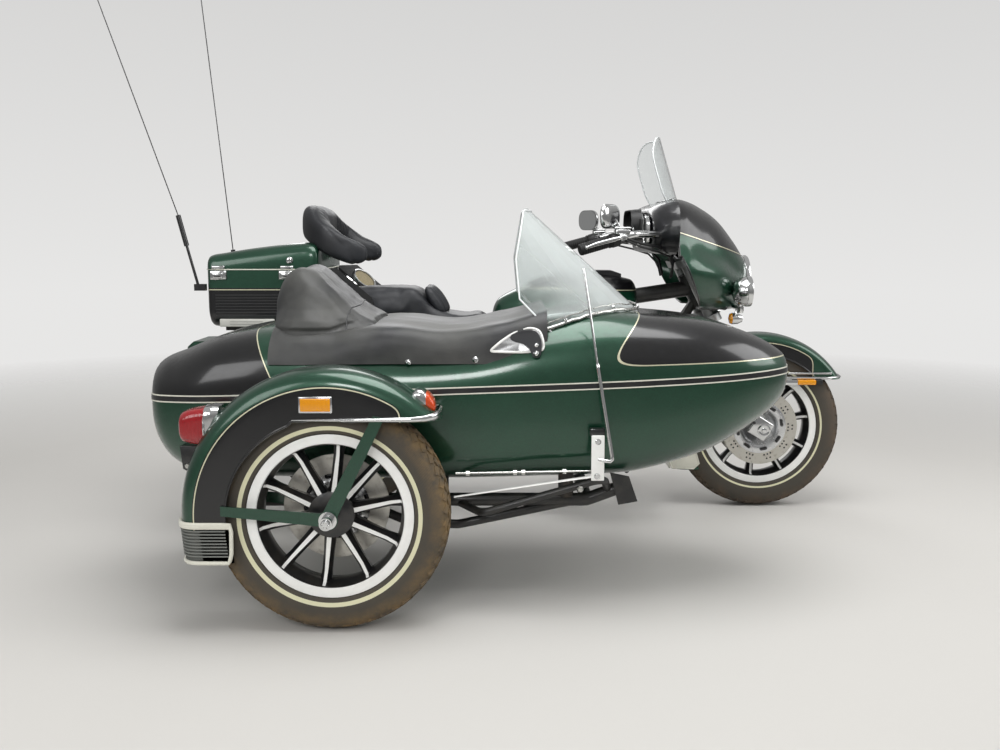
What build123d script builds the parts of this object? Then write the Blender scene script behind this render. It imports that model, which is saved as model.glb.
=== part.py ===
from build123d import *
import os
from math import cos, radians, sin

# A sidecar motorcycle: a touring V-twin with its sidecar on the right-hand side.
# Workshop frame, in millimetres: x forward from the rear axle, y to the left from the
# motorcycle's centreline, z up from the ground.

# The footprint's centre in that frame, which becomes the origin of every piece
CENTRE_X = 530.0
CENTRE_Y = -480.0

# Wheels, all three of one size
WHEELBASE = 1600.0
TRACK = 1300.0
SIDECAR_LEAD = 140.0
TYRE_R = 318.0
TYRE_HALF = 64.0
SHOULDER_R = 286.0
TREAD_HALF = 44.0
RIM_R = 222.0
FIT_GAP = 0.5
RIM_HALF = 55.0
RIM_INNER_R = 196.0
SPOKES = 10
SPOKE_START = 24.7
SPOKE_WIDTH = 26.0
SPOKE_HALF_DEPTH = 20.0
HUB_R = 62.0
HUB_HALF = 45.0
AXLE_R = 12.0
AXLE_BORE_R = 12.5
DISC_R = 146.0
DISC_INNER_R = 98.0
DISC_THICK = 5.0
DISC_OFFSET = 62.0
CARRIER_SLOTS = 8
FRONT_AXLE = (WHEELBASE, 0.0, TYRE_R)
REAR_AXLE = (0.0, 0.0, TYRE_R)
SIDE_AXLE = (SIDECAR_LEAD, -TRACK, TYRE_R)

# Flats that turn each corner of a hull's section
CORNER_STEPS = 3

# Steering
RAKE = 26.0
LEG_Y = 103.0
SLIDER_R = 29.0
FORK_TUBE_R = 20.5
SLIDER_TOP = 400.0
LOWER_CLAMP = 460.0
UPPER_CLAMP = 700.0

# Sidecar body
BODY_Y = -880.0
BODY_WALL = 9.0
COVER_WALL = 6.0

# Trunk and saddlebags
TRUNK_REAR = -483.0
TRUNK_FRONT = -60.0
TRUNK_HALF = 262.0
TRUNK_SPLIT = 936.0
SHELL_WALL = 6.0
LID_GAP = 1.5
BAG_REAR = -500.0
BAG_FRONT = 95.0
BAG_INNER = 278.0
BAG_OUTER = 462.0
BAG_LOW = 400.0
BAG_SPLIT = 640.0
BAG_TOP = 700.0
# Lid hinges: height under the split, knuckle and its clearance, spans on lid and on box
HINGE_DROP = 1.0
KNUCKLE_R = 4.0
KNUCKLE_SPACE = 4.6
TRUNK_LID_KNUCKLES = ((-410, -385), (-165, -140))
TRUNK_BOX_KNUCKLES = ((-384, -359), (-139, -114))
BAG_LID_KNUCKLES = ((-400, -370), (-30, 0))
BAG_BOX_KNUCKLES = ((-369, -339), (-61, -31))

# Fenders
FENDER_SHEET = 4.0
SIDE_FENDER_R = 395.0
SIDE_FENDER_HALF = 85.0
SIDE_SKIRT_R = 266.0
FRONT_FENDER_R = 366.0
FRONT_FENDER_HALF = 80.0
FRONT_SKIRT_R = 285.0


def side(y):
    """The upright plane along the machine: local x forward, local y up, normal to the right."""
    return Plane(origin=(0, y, 0), x_dir=(1, 0, 0), z_dir=(0, -1, 0))


def across(x, y=0.0, z=0.0):
    """The upright plane across the machine: local x to the left, local y up, normal forward."""
    return Plane(origin=(x, y, z), x_dir=(0, 1, 0), z_dir=(1, 0, 0))


def wheel_face(centre):
    """The plane of a wheel, seen from the right, with its origin at the wheel's centre."""
    return Plane(origin=centre, x_dir=(1, 0, 0), z_dir=(0, -1, 0))


def on_fork(distance, y=0.0):
    """A point on the fork's line, measured up along it from the front axle."""
    return (
        WHEELBASE - distance * sin(radians(RAKE)),
        y,
        TYRE_R + distance * cos(radians(RAKE)),
    )


def bar(points, radius, bend=40.0):
    """A round bar along straight runs joined by arcs."""
    with BuildLine(mode=Mode.PRIVATE) as run:
        if len(points) == 2:
            Line(*points)
        else:
            FilletPolyline(*points, radius=bend)
    path = run.wire()
    with BuildSketch(Plane(origin=path @ 0, z_dir=path % 0), mode=Mode.PRIVATE) as section:
        Circle(radius)
    sweep(section.sketch, path=path)


def disc(centre, radius, width, axis=(0, 1, 0), mode=Mode.ADD):
    """A round boss or disc about a centre, its flat faces square to the axis."""
    with BuildSketch(Plane(origin=centre, z_dir=axis), mode=Mode.PRIVATE) as face:
        Circle(radius)
    extrude(face.sketch, amount=width / 2, both=True, mode=mode)


def block(low, high, mode=Mode.ADD):
    """A square-edged block between its lowest and highest corners."""
    with BuildSketch(Plane.XY.offset(low[2]), mode=Mode.PRIVATE) as base:
        with Locations(((low[0] + high[0]) / 2, (low[1] + high[1]) / 2)):
            Rectangle(high[0] - low[0], high[1] - low[1])
    extrude(base.sketch, amount=high[2] - low[2], mode=mode)


def knuckles(y, z, spans, radius, mode=Mode.ADD):
    """Hinge knuckles on one axis along the machine, one for each span of x."""
    for rear, front in spans:
        disc(((rear + front) / 2, y, z), radius, front - rear, axis=(1, 0, 0), mode=mode)


def profile(points, y_low, y_high, mode=Mode.ADD):
    """A side-view outline of x and z, made solid between two distances to the left."""
    with BuildSketch(side(y_high), mode=Mode.PRIVATE) as outline:
        with BuildLine():
            Polyline(*points, close=True)
        make_face()
    extrude(outline.sketch, amount=y_high - y_low, mode=mode)


def rounded_outline(half_width, low, high, corner):
    """A closed outline about a centre line, each corner turned in CORNER_STEPS flats."""
    middle = (low + high) / 2
    points = []
    for turn, hand_y, hand_z in ((0, 1, 1), (90, -1, 1), (180, -1, -1), (270, 1, -1)):
        for step in range(CORNER_STEPS + 1):
            angle = radians(turn + 90 * step / CORNER_STEPS)
            points.append(
                (
                    hand_y * (half_width - corner) + corner * cos(angle),
                    middle + hand_z * (high - middle - corner) + corner * sin(angle),
                )
            )
    return points


def hull(rows, centre_y, inset=0.0, ruled=False, mode=Mode.ADD):
    """A hull through rounded sections: x, half width, low, high, corner radius."""
    sections = []
    for x, half_width, low, high, corner in rows:
        with BuildSketch(across(x, centre_y), mode=Mode.PRIVATE) as section:
            with BuildLine():
                Polyline(
                    *rounded_outline(
                        half_width - inset, low + inset, high - inset, corner - inset
                    ),
                    close=True,
                )
            make_face()
        sections.append(section.sketch)
    loft(sections, ruled=ruled, mode=mode)


# Wheels


def build_tyre(centre, label):
    """A closed ring round the rim, flat-sided, with bevelled shoulders."""
    with BuildPart() as tyre:
        with BuildSketch(across(*centre)):
            with BuildLine():
                Polyline(
                    (-TYRE_HALF, RIM_R + FIT_GAP),
                    (-TYRE_HALF, SHOULDER_R),
                    (-TREAD_HALF, TYRE_R),
                    (TREAD_HALF, TYRE_R),
                    (TYRE_HALF, SHOULDER_R),
                    (TYRE_HALF, RIM_R + FIT_GAP),
                    close=True,
                )
            make_face()
        revolve(axis=Axis(centre, (0, 1, 0)))
    tyre.part.label = label
    return tyre


def build_rim(centre, label):
    """A cast wheel: rim ring, ten straight spokes with raised ridges, and a bored hub."""
    with BuildPart() as rim:
        disc(centre, RIM_R, 2 * RIM_HALF)
        disc(centre, RIM_INNER_R, 4 * RIM_HALF, mode=Mode.SUBTRACT)
        with BuildSketch(wheel_face(centre)):
            with PolarLocations((HUB_R + RIM_INNER_R) / 2, SPOKES, start_angle=SPOKE_START):
                Rectangle(RIM_INNER_R - HUB_R + 20, SPOKE_WIDTH)
        extrude(amount=SPOKE_HALF_DEPTH, both=True)
        with BuildSketch(wheel_face(centre)):
            with PolarLocations((HUB_R + RIM_INNER_R) / 2, SPOKES, start_angle=SPOKE_START):
                Rectangle(RIM_INNER_R - HUB_R + 8, 9)
        extrude(amount=SPOKE_HALF_DEPTH + 8, both=True)
        disc(centre, HUB_R, 2 * HUB_HALF)
        disc(centre, AXLE_BORE_R, 4 * HUB_HALF, mode=Mode.SUBTRACT)
    rim.part.label = label
    return rim


def build_brake(centre, offsets, label):
    """Slotted brake discs on their hub carriers, one for each distance to the left."""
    with BuildPart() as brake:
        for offset_y in offsets:
            face = wheel_face((centre[0], centre[1] + offset_y, centre[2]))
            with BuildSketch(face):
                Circle(DISC_R)
                Circle(AXLE_BORE_R + 10, mode=Mode.SUBTRACT)
                with PolarLocations((DISC_INNER_R + HUB_R) / 2 + 4, CARRIER_SLOTS):
                    Rectangle(20, 34, mode=Mode.SUBTRACT)
            extrude(amount=DISC_THICK / 2, both=True)
            inner_y = centre[1] + offset_y * (HUB_HALF + DISC_OFFSET) / (2 * DISC_OFFSET)
            with BuildSketch(wheel_face((centre[0], inner_y, centre[2]))):
                Circle(HUB_R - 12)
                Circle(AXLE_BORE_R, mode=Mode.SUBTRACT)
            extrude(amount=(DISC_OFFSET - HUB_HALF) / 2, both=True)
    brake.part.label = label
    return brake


front_tyre = build_tyre(FRONT_AXLE, "front_tyre")
rear_tyre = build_tyre(REAR_AXLE, "rear_tyre")
sidecar_tyre = build_tyre(SIDE_AXLE, "sidecar_tyre")
front_rim = build_rim(FRONT_AXLE, "front_rim")
rear_rim = build_rim(REAR_AXLE, "rear_rim")
sidecar_rim = build_rim(SIDE_AXLE, "sidecar_rim")
front_brake_discs = build_brake(FRONT_AXLE, (-DISC_OFFSET, DISC_OFFSET), "front_brake_discs")
rear_brake_disc = build_brake(REAR_AXLE, (-DISC_OFFSET,), "rear_brake_disc")
sidecar_brake_disc = build_brake(SIDE_AXLE, (DISC_OFFSET,), "sidecar_brake_disc")

# Motorcycle frame: steering head, backbone, twin cradle rails, rear rails and trunk rack
HEAD_LOW = 520.0
HEAD_HIGH = 660.0
with BuildPart() as bike_frame:
    bar([on_fork(HEAD_LOW), on_fork(HEAD_HIGH)], 34)
    bar([on_fork(600), (950, 0, 800), (520, 0, 690)], 30, 150)
    for hand in (-1, 1):
        bar(
            [
                on_fork(560),
                (1190, 60 * hand, 560),
                (1120, 110 * hand, 188),
                (420, 110 * hand, 188),
                (372, 110 * hand, 300),
                (500, 20 * hand, 690),
            ],
            16,
            60,
        )
        bar([(520, 20 * hand, 690), (330, 112 * hand, 620), (-300, 112 * hand, 610)], 14, 80)
        bar([(-60, 105 * hand, 610), (-90, 110 * hand, 706)], 11)
        bar([(-280, 110 * hand, 610), (-330, 110 * hand, 706)], 11)
    for cross_x in (1080, 840, 640, 450):
        bar([(cross_x, -110, 171), (cross_x, 110, 171)], 14)
    bar([(-300, -110, 610), (-300, 110, 610)], 14)
    block((-440, -150, 704), (-70, 150, 722))
bike_frame.part.label = "bike_frame"

# Engine cases, gearbox and the oil pan under them
CRANK_X = 760.0
CRANK_Z = 300.0
with BuildPart() as engine_cases:
    with BuildSketch(side(0)):
        with Locations((CRANK_X, CRANK_Z)):
            RectangleRounded(300, 230, 60)
        with Locations((CRANK_X - 225, CRANK_Z + 20)):
            RectangleRounded(210, 190, 40)
    extrude(amount=88, both=True)
    with BuildSketch(side(-88)):
        with Locations((CRANK_X + 10, CRANK_Z + 20)):
            Circle(92)
        with Locations((CRANK_X - 110, CRANK_Z + 40)):
            RectangleRounded(120, 90, 25)
    extrude(amount=40)
engine_cases.part.label = "engine_cases"

# Primary chain cover on the left
with BuildPart() as primary_cover:
    with BuildSketch(side(150)):
        with Locations((CRANK_X - 110, CRANK_Z)):
            SlotOverall(460, 190)
    extrude(amount=61.7)
    chamfer(primary_cover.edges().group_by(Axis.Y)[-1], length=14)
primary_cover.part.label = "primary_cover"

# Two finned cylinders in a forty-five degree V with their heads and rocker covers
CYLINDER_LEAN = 22.5
FIN_PITCH = 14.0
FIN_COUNT = 12
with BuildPart() as cylinders:
    for hand in (-1, 1):
        lean = radians(CYLINDER_LEAN) * hand
        up = (sin(lean), 0, cos(lean))
        for level, width, bevel, thick in ((90, 110, 30, 240), (325, 146, 20, 48)):
            foot = (CRANK_X + level * up[0], 0, CRANK_Z + level * up[2])
            with BuildSketch(Plane(origin=foot, x_dir=(0, 1, 0), z_dir=up)) as core:
                Rectangle(width, width)
                chamfer(core.vertices(), length=bevel)
            extrude(amount=thick)
        for index in range(FIN_COUNT):
            level = 166 + FIN_PITCH * index
            foot = (CRANK_X + level * up[0], 0, CRANK_Z + level * up[2])
            with BuildSketch(Plane(origin=foot, x_dir=(0, 1, 0), z_dir=up)):
                Rectangle(158, 150)
            extrude(amount=5)
    add(engine_cases.part, mode=Mode.SUBTRACT)
cylinders.part.label = "cylinders"

# Round air cleaner between the cylinders on the right
with BuildPart() as air_cleaner:
    disc((CRANK_X, -140, 560), 85, 56)
    chamfer(air_cleaner.edges().group_by(Axis.Y)[0], length=12)
    disc((CRANK_X, -95, 560), 30, 40)
    add(cylinders.part, mode=Mode.SUBTRACT)
air_cleaner.part.label = "air_cleaner"

# Exhaust: a header and a long silencer on each side
with BuildPart() as exhaust:
    for hand in (-1, 1):
        bar(
            [
                (925, 79 * hand, 560),
                (1010, 130 * hand, 560),
                (960, 170 * hand, 250),
                (300, 225 * hand, 225),
            ],
            20,
            45,
        )
        bar([(330, 225 * hand, 225), (-520, 225 * hand, 225)], 46)
    add(cylinders.part, mode=Mode.SUBTRACT)
exhaust.part.label = "exhaust"

# Fuel tank, with a tunnel for the backbone
TANK_ROWS = (
    (560, 70, 705, 800, 40),
    (680, 130, 690, 868, 75),
    (850, 165, 680, 905, 95),
    (1020, 160, 700, 903, 90),
    (1120, 105, 760, 885, 60),
)
with BuildPart() as fuel_tank:
    hull(TANK_ROWS, 0)
    profile(
        ((500, 600), (1200, 600), (1200, 915), (950, 842), (500, 732)),
        -36,
        36,
        mode=Mode.SUBTRACT,
    )
fuel_tank.part.label = "fuel_tank"

# Console along the tank's top, between two filler caps
with BuildPart() as tank_console:
    profile(
        ((690, 862), (705, 882), (850, 926), (1020, 924), (1055, 912), (1055, 884), (850, 878)),
        -42,
        42,
    )
    for hand in (-1, 1):
        disc((860, 84 * hand, 905), 32, 26, axis=(0, 0, 1))
    add(fuel_tank.part, mode=Mode.SUBTRACT)
tank_console.part.label = "tank_console"

# Two-level seat: pillion behind, rider in front
with BuildPart() as seat:
    profile(
        (
            (-52, 726),
            (-40, 845),
            (120, 855),
            (285, 852),
            (330, 790),
            (430, 745),
            (545, 760),
            (545, 735),
            (480, 705),
            (330, 692),
            (300, 686),
            (-40, 686),
        ),
        -150,
        150,
    )
seat.part.label = "seat"

# Rider's backrest: a leaf-shaped pad that leans on the pillion's front
with BuildPart() as rider_backrest:
    profile(
        (
            (292, 846),
            (298, 868),
            (312, 877),
            (326, 872),
            (352, 838),
            (382, 796),
            (400, 764),
            (396, 750),
            (330, 780),
        ),
        -120,
        120,
    )
    add(seat.part, mode=Mode.SUBTRACT)
rider_backrest.part.label = "rider_backrest"

# Trunk: an open-topped box and its side-hinged lid
with BuildPart() as trunk_body:
    profile(
        (
            (TRUNK_REAR, 760),
            (TRUNK_REAR + 25, 724),
            (-130, 724),
            (TRUNK_FRONT - 6, 800),
            (TRUNK_FRONT, TRUNK_SPLIT - LID_GAP),
            (TRUNK_REAR, TRUNK_SPLIT - LID_GAP),
        ),
        -TRUNK_HALF,
        TRUNK_HALF,
    )
    fillet(trunk_body.edges().filter_by(Axis.Z), radius=45)
    offset(amount=-SHELL_WALL, openings=trunk_body.faces().sort_by(Axis.Z)[-1])
    hinge_z = TRUNK_SPLIT - HINGE_DROP
    knuckles(TRUNK_HALF, hinge_z, TRUNK_LID_KNUCKLES, KNUCKLE_SPACE, mode=Mode.SUBTRACT)
    knuckles(TRUNK_HALF, hinge_z, TRUNK_BOX_KNUCKLES, KNUCKLE_R)
trunk_body.part.label = "trunk_body"

with BuildPart() as trunk_lid:
    profile(
        (
            (TRUNK_REAR, TRUNK_SPLIT),
            (TRUNK_REAR, 968),
            (TRUNK_REAR + 20, 984),
            (-300, 1013),
            (-130, 1031),
            (TRUNK_FRONT - 20, 1026),
            (TRUNK_FRONT, 1000),
            (TRUNK_FRONT, TRUNK_SPLIT),
        ),
        -TRUNK_HALF,
        TRUNK_HALF,
    )
    fillet(trunk_lid.edges().filter_by(Axis.Z), radius=30)
    offset(amount=-SHELL_WALL, openings=trunk_lid.faces().sort_by(Axis.Z)[0])
    knuckles(TRUNK_HALF, hinge_z, TRUNK_BOX_KNUCKLES, KNUCKLE_SPACE, mode=Mode.SUBTRACT)
    knuckles(TRUNK_HALF, hinge_z, TRUNK_LID_KNUCKLES, KNUCKLE_R)
trunk_lid.part.label = "trunk_lid"

# Pillion backrest on the lid: a tall middle pad and two wings that wrap forward
with BuildPart() as backrest:
    with BuildSketch(Plane(origin=(-110, 0, 1034), x_dir=(0, 1, 0), z_dir=(0.12, 0, 1))):
        RectangleRounded(400, 90, 40)
    extrude(amount=140)
    for hand in (-1, 1):
        with BuildSketch(Plane.XY.offset(945)):
            with Locations((32, 225 * hand)):
                RectangleRounded(170, 56, 25)
        extrude(amount=95)
    block((-54, -215, 955), (-20, 215, 1060))
    block((-120, -180, 1034), (-20, 180, 1060))
backrest.part.label = "backrest"

# Loudspeaker pods in front of the trunk, their faces turned up, forward and inward
SPEAKER_R = 52.0
with BuildPart() as trunk_speakers:
    for hand in (-1, 1):
        low_y, high_y = sorted((152 * hand, 262 * hand))
        profile(
            ((-59, 788), (-59, 938), (40, 938), (125, 850), (125, 800), (70, 784)), low_y, high_y
        )
    for hand in (-1, 1):
        face = Plane(origin=(35, 205 * hand, 880), z_dir=(0.60, -0.36 * hand, 0.71))
        with BuildSketch(face, mode=Mode.PRIVATE) as above:
            Rectangle(260, 260)
        extrude(above.sketch, amount=90, mode=Mode.SUBTRACT)
        with BuildSketch(face, mode=Mode.PRIVATE) as ring:
            Circle(SPEAKER_R)
            Circle(SPEAKER_R - 8, mode=Mode.SUBTRACT)
        extrude(ring.sketch, amount=5)
trunk_speakers.part.label = "trunk_speakers"

# Two whip antennas, each with its foot and loading coil
ANTENNA_ROWS = (
    (-240, -500, 870, -548, 1020, -575, 1130, -850, 1950),
    (250, -497, 870, -500, 920, -507, 1000, -605, 2050),
)
with BuildPart() as antennas:
    for y, foot_x, foot_z, low_x, low_z, coil_x, coil_z, tip_x, tip_z in ANTENNA_ROWS:
        block((foot_x - 24, y - 12, foot_z - 12), (TRUNK_REAR - 0.3, y + 12, foot_z + 12))
        bar([(foot_x - 10, y, foot_z), (low_x, y, low_z)], 5)
        bar([(low_x, y, low_z), (coil_x, y, coil_z)], 9)
        bar([(coil_x, y, coil_z), (tip_x, y, tip_z)], 2)
antennas.part.label = "antennas"


# Saddlebags: open-topped boxes beside the rear wheel, with outward-opening lids
def bag_outline():
    Polyline(
        (BAG_REAR, BAG_SPLIT - LID_GAP),
        (BAG_REAR, 450),
        (BAG_REAR + 45, BAG_LOW),
        (BAG_FRONT - 50, BAG_LOW),
        (BAG_FRONT, 460),
        (BAG_FRONT, BAG_SPLIT - LID_GAP),
        close=True,
    )


def bag_span(hand):
    return (BAG_INNER, BAG_OUTER) if hand > 0 else (-BAG_OUTER, -BAG_INNER)


def build_bag_lid(hand, label):
    """A domed lid, open below."""
    low_y, high_y = bag_span(hand)
    with BuildPart() as lid:
        profile(
            (
                (BAG_REAR, BAG_SPLIT),
                (BAG_REAR, BAG_TOP - 30),
                (BAG_REAR + 30, BAG_TOP - 6),
                (-150, BAG_TOP),
                (BAG_FRONT - 30, BAG_TOP - 6),
                (BAG_FRONT, BAG_TOP - 30),
                (BAG_FRONT, BAG_SPLIT),
            ),
            low_y,
            high_y,
        )
        fillet(lid.edges().filter_by(Axis.Z), radius=30)
        offset(amount=-SHELL_WALL, openings=lid.faces().sort_by(Axis.Z)[0])
        hinge_y = BAG_OUTER * hand
        hinge_z = BAG_SPLIT - HINGE_DROP
        knuckles(hinge_y, hinge_z, BAG_BOX_KNUCKLES, KNUCKLE_SPACE, mode=Mode.SUBTRACT)
        knuckles(hinge_y, hinge_z, BAG_LID_KNUCKLES, KNUCKLE_R)
    lid.part.label = label
    return lid


with BuildPart() as saddlebags:
    for hand in (-1, 1):
        with BuildSketch(side(bag_span(hand)[1])):
            with BuildLine():
                bag_outline()
            make_face()
        extrude(amount=BAG_OUTER - BAG_INNER)
    fillet(saddlebags.edges().filter_by(Axis.Z), radius=35)
    offset(amount=-SHELL_WALL, openings=saddlebags.faces().filter_by(Axis.Z).group_by(Axis.Z)[-1])
    for hand in (-1, 1):
        low_y, high_y = (110, BAG_INNER + 2) if hand > 0 else (-BAG_INNER - 2, -110)
        block((-320, low_y, 585), (-280, high_y, 600))
        block((-100, low_y, 585), (-60, high_y, 600))
        hinge_y = BAG_OUTER * hand
        hinge_z = BAG_SPLIT - HINGE_DROP
        knuckles(hinge_y, hinge_z, BAG_LID_KNUCKLES, KNUCKLE_SPACE, mode=Mode.SUBTRACT)
        knuckles(hinge_y, hinge_z, BAG_BOX_KNUCKLES, KNUCKLE_R)
    add(bike_frame.part, mode=Mode.SUBTRACT)
saddlebags.part.label = "saddlebags"
left_bag_lid = build_bag_lid(1, "left_bag_lid")
right_bag_lid = build_bag_lid(-1, "right_bag_lid")

# Rear fender over the rear wheel, with the plate bracket and lamps behind
REAR_FENDER_R = 365.0
REAR_FENDER_HALF = 94.0
PLATE_HOLE_SPACING = 146.0
PLATE_HOLE_R = 3.5
with BuildPart() as rear_fender:
    with BuildSketch(across(*REAR_AXLE)):
        with BuildLine():
            Polyline(
                (-REAR_FENDER_HALF, 300),
                (-REAR_FENDER_HALF, 345),
                (-68, REAR_FENDER_R),
                (68, REAR_FENDER_R),
                (REAR_FENDER_HALF, 345),
                (REAR_FENDER_HALF, 300),
            )
        trace(line_width=FENDER_SHEET)
    revolve(axis=Axis(REAR_AXLE, (0, 1, 0)))
    profile(((-450, 330), (-450, 800), (160, 800), (190, 560)), -200, 200, mode=Mode.INTERSECT)
    add(bike_frame.part, mode=Mode.SUBTRACT)
rear_fender.part.label = "rear_fender"

with BuildPart() as plate_bracket:
    with BuildSketch(across(-392, 0, 520)):
        RectangleRounded(190, 60, 10)
        with GridLocations(PLATE_HOLE_SPACING, 0, 2, 1):
            Circle(PLATE_HOLE_R, mode=Mode.SUBTRACT)
    extrude(amount=4)
    block((-388, -20, 512), (-320, 20, 528))
    add(rear_fender.part, mode=Mode.SUBTRACT)
plate_bracket.part.label = "plate_bracket"

with BuildPart() as rear_lamps:
    disc((-330, 0, 600), 45, 90, axis=(1, 0, 0))
    bar([(-350, -230, 600), (-350, 230, 600)], 8)
    for hand in (-1, 1):
        disc((-360, 200 * hand, 600), 32, 50, axis=(1, 0, 0))
    add(rear_fender.part, mode=Mode.SUBTRACT)
    add(bike_frame.part, mode=Mode.SUBTRACT)
rear_lamps.part.label = "rear_lamps"

# Swingarm, rear axle and spring legs
with BuildPart() as swingarm:
    for hand in (-1, 1):
        bar([(372, 118 * hand, 300), (-30, 118 * hand, TYRE_R)], 21)
        bar([(-5, 152 * hand, TYRE_R), (25, 152 * hand, 600)], 20)
        bar([(25, 160 * hand, 596), (25, 92 * hand, 608)], 9)
    bar([(372, -118, 300), (372, 118, 300)], 22)
    bar([(0, -165, TYRE_R), (0, 165, TYRE_R)], AXLE_R)
    add(bike_frame.part, mode=Mode.SUBTRACT)
swingarm.part.label = "swingarm"

# Footboards and engine guard
with BuildPart() as footboards:
    for hand in (-1, 1):
        centre_y = 285 * hand
        with BuildSketch(Plane.XY.offset(300)):
            with Locations((970, centre_y)):
                RectangleRounded(300, 110, 40)
        extrude(amount=14)
        for arm_x in (880, 1060):
            bar([(arm_x, 105 * hand, 192), (arm_x, 285 * hand, 192), (arm_x, 290 * hand, 302)], 9, 20)
    add(bike_frame.part, mode=Mode.SUBTRACT)
footboards.part.label = "footboards"

with BuildPart() as engine_guard:
    for hand in (-1, 1):
        bar(
            [
                (1178, 62 * hand, 545),
                (1190, 340 * hand, 560),
                (1170, 400 * hand, 470),
                (1150, 350 * hand, 300),
                (1125, 112 * hand, 225),
            ],
            16,
            50,
        )
    add(bike_frame.part, mode=Mode.SUBTRACT)
engine_guard.part.label = "engine_guard"

# Side stand, stowed along the left cradle rail
STAND_PIVOT = (560.0, 152.0, 190.0)
with BuildPart() as side_stand:
    disc(STAND_PIVOT, 18, 22)
    bar([STAND_PIVOT, (300, 160, 165), (270, 175, 160)], 10, 20)
    disc((262, 178, 160), 24, 14, axis=(0.2, 0.9, 0.3))
side_stand.part.label = "side_stand"

# Fork: sliders, tubes, clamps, stem, axle and calipers
with BuildPart() as fork:
    for hand in (-1, 1):
        leg = LEG_Y * hand
        bar([on_fork(-35, leg), on_fork(SLIDER_TOP, leg)], SLIDER_R)
        bar([on_fork(SLIDER_TOP - 20, leg), on_fork(UPPER_CLAMP + 20, leg)], FORK_TUBE_R)
        low_y, high_y = sorted((70.0 * hand, 96.0 * hand))
        profile(((1462, 352), (1462, 430), (1500, 452), (1556, 430), (1566, 380)), low_y, high_y)
    bar([(WHEELBASE, -LEG_Y - 30, TYRE_R), (WHEELBASE, LEG_Y + 30, TYRE_R)], AXLE_R)
    for clamp in (LOWER_CLAMP, UPPER_CLAMP):
        clamp_face = Plane(
            origin=on_fork(clamp),
            x_dir=(0, 1, 0),
            z_dir=(-sin(radians(RAKE)), 0, cos(radians(RAKE))),
        )
        with BuildSketch(clamp_face):
            SlotOverall(2 * LEG_Y + 76, 76)
        extrude(amount=30)
fork.part.label = "fork"

# Front fender on the fork
with BuildPart() as front_fender:
    with BuildSketch(across(*FRONT_AXLE)):
        with BuildLine():
            Polyline(
                (-FRONT_FENDER_HALF + 7, FRONT_SKIRT_R),
                (-FRONT_FENDER_HALF + 7, 340),
                (-56, FRONT_FENDER_R - 4),
                (0, FRONT_FENDER_R),
                (56, FRONT_FENDER_R - 4),
                (FRONT_FENDER_HALF - 7, 340),
                (FRONT_FENDER_HALF - 7, FRONT_SKIRT_R),
            )
        trace(line_width=FENDER_SHEET)
    revolve(axis=Axis(FRONT_AXLE, (0, 1, 0)))
    add(fork.part, mode=Mode.SUBTRACT)
    profile(
        ((1200, 155), (1200, 760), (1980, 760), (1980, 510), (1640, 510), (1390, 155)),
        -200,
        200,
        mode=Mode.INTERSECT,
    )
front_fender.part.label = "front_fender"

# Lamps: the headlamp in the fairing's nose and two spot lamps on a bar below it
with BuildPart() as headlamp:
    disc((1505, 0, 892), 90, 90, axis=(1, 0, 0))
headlamp.part.label = "headlamp"

with BuildPart() as spot_lamps:
    bar([(1470, -235, 792), (1470, 235, 792)], 9)
    for hand in (-1, 1):
        disc((1475, 240 * hand, 855), 56, 70, axis=(1, 0, 0))
spot_lamps.part.label = "spot_lamps"

# Fork-mounted fairing: a hollow shell open at the back and below
FAIRING_ROWS = (
    (1223, 385, 810, 1192, 140),
    (1300, 362, 795, 1178, 150),
    (1400, 280, 780, 1118, 140),
    (1480, 170, 780, 1030, 110),
    (1525, 100, 820, 960, 65),
)
FAIRING_WALL = 6.0
with BuildPart() as fairing:
    hull(FAIRING_ROWS, 0)
    hull(FAIRING_ROWS[:-1], 0, inset=FAIRING_WALL, mode=Mode.SUBTRACT)
    profile(
        ((1150, 700), (1150, 985), (1231, 985), (1318, 800), (1318, 700)),
        -400,
        400,
        mode=Mode.SUBTRACT,
    )
    block((1100, -170, 700), (1440, 170, 870), mode=Mode.SUBTRACT)
    add(headlamp.part, mode=Mode.SUBTRACT)
    add(spot_lamps.part, mode=Mode.SUBTRACT)
fairing.part.label = "fairing"


# Handlebar with grips
with BuildPart() as handlebar:
    for hand in (-1, 1):
        bar([on_fork(740, 0), on_fork(720, 60 * hand)], 13)
        bar(
            [
                on_fork(720, 55 * hand),
                (1250, 230 * hand, 1060),
                (1060, 400 * hand, 1062),
                (960, 430 * hand, 1035),
            ],
            12.7,
            50,
        )
        bar([(965, 428 * hand, 1036), (865, 458 * hand, 1008)], 18)
    add(fork.part, mode=Mode.SUBTRACT)
handlebar.part.label = "handlebar"

# Switch housings, fluid reservoirs and levers at the grips
with BuildPart() as hand_controls:
    for hand in (-1, 1):
        housing_face = Plane(origin=(1022, 412 * hand, 1052), z_dir=(-100, 30 * hand, -27))
        with BuildSketch(housing_face):
            Circle(21)
        extrude(amount=44)
        block(
            (984, min(400 * hand, 446 * hand), 1058),
            (1040, max(400 * hand, 446 * hand), 1086),
        )
        bar([(1018, 428 * hand, 1060), (1000, 464 * hand, 1050), (880, 484 * hand, 1016)], 5.5, 16)
    add(handlebar.part, mode=Mode.SUBTRACT)
hand_controls.part.label = "hand_controls"

# Inner fairing towards the rider, with instruments and speakers, the bars passing through it
INNER_ROWS = (
    (1132, 292, 996, 1150, 55),
    (1165, 338, 992, 1172, 75),
    (1222, 372, 988, 1186, 96),
)
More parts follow.
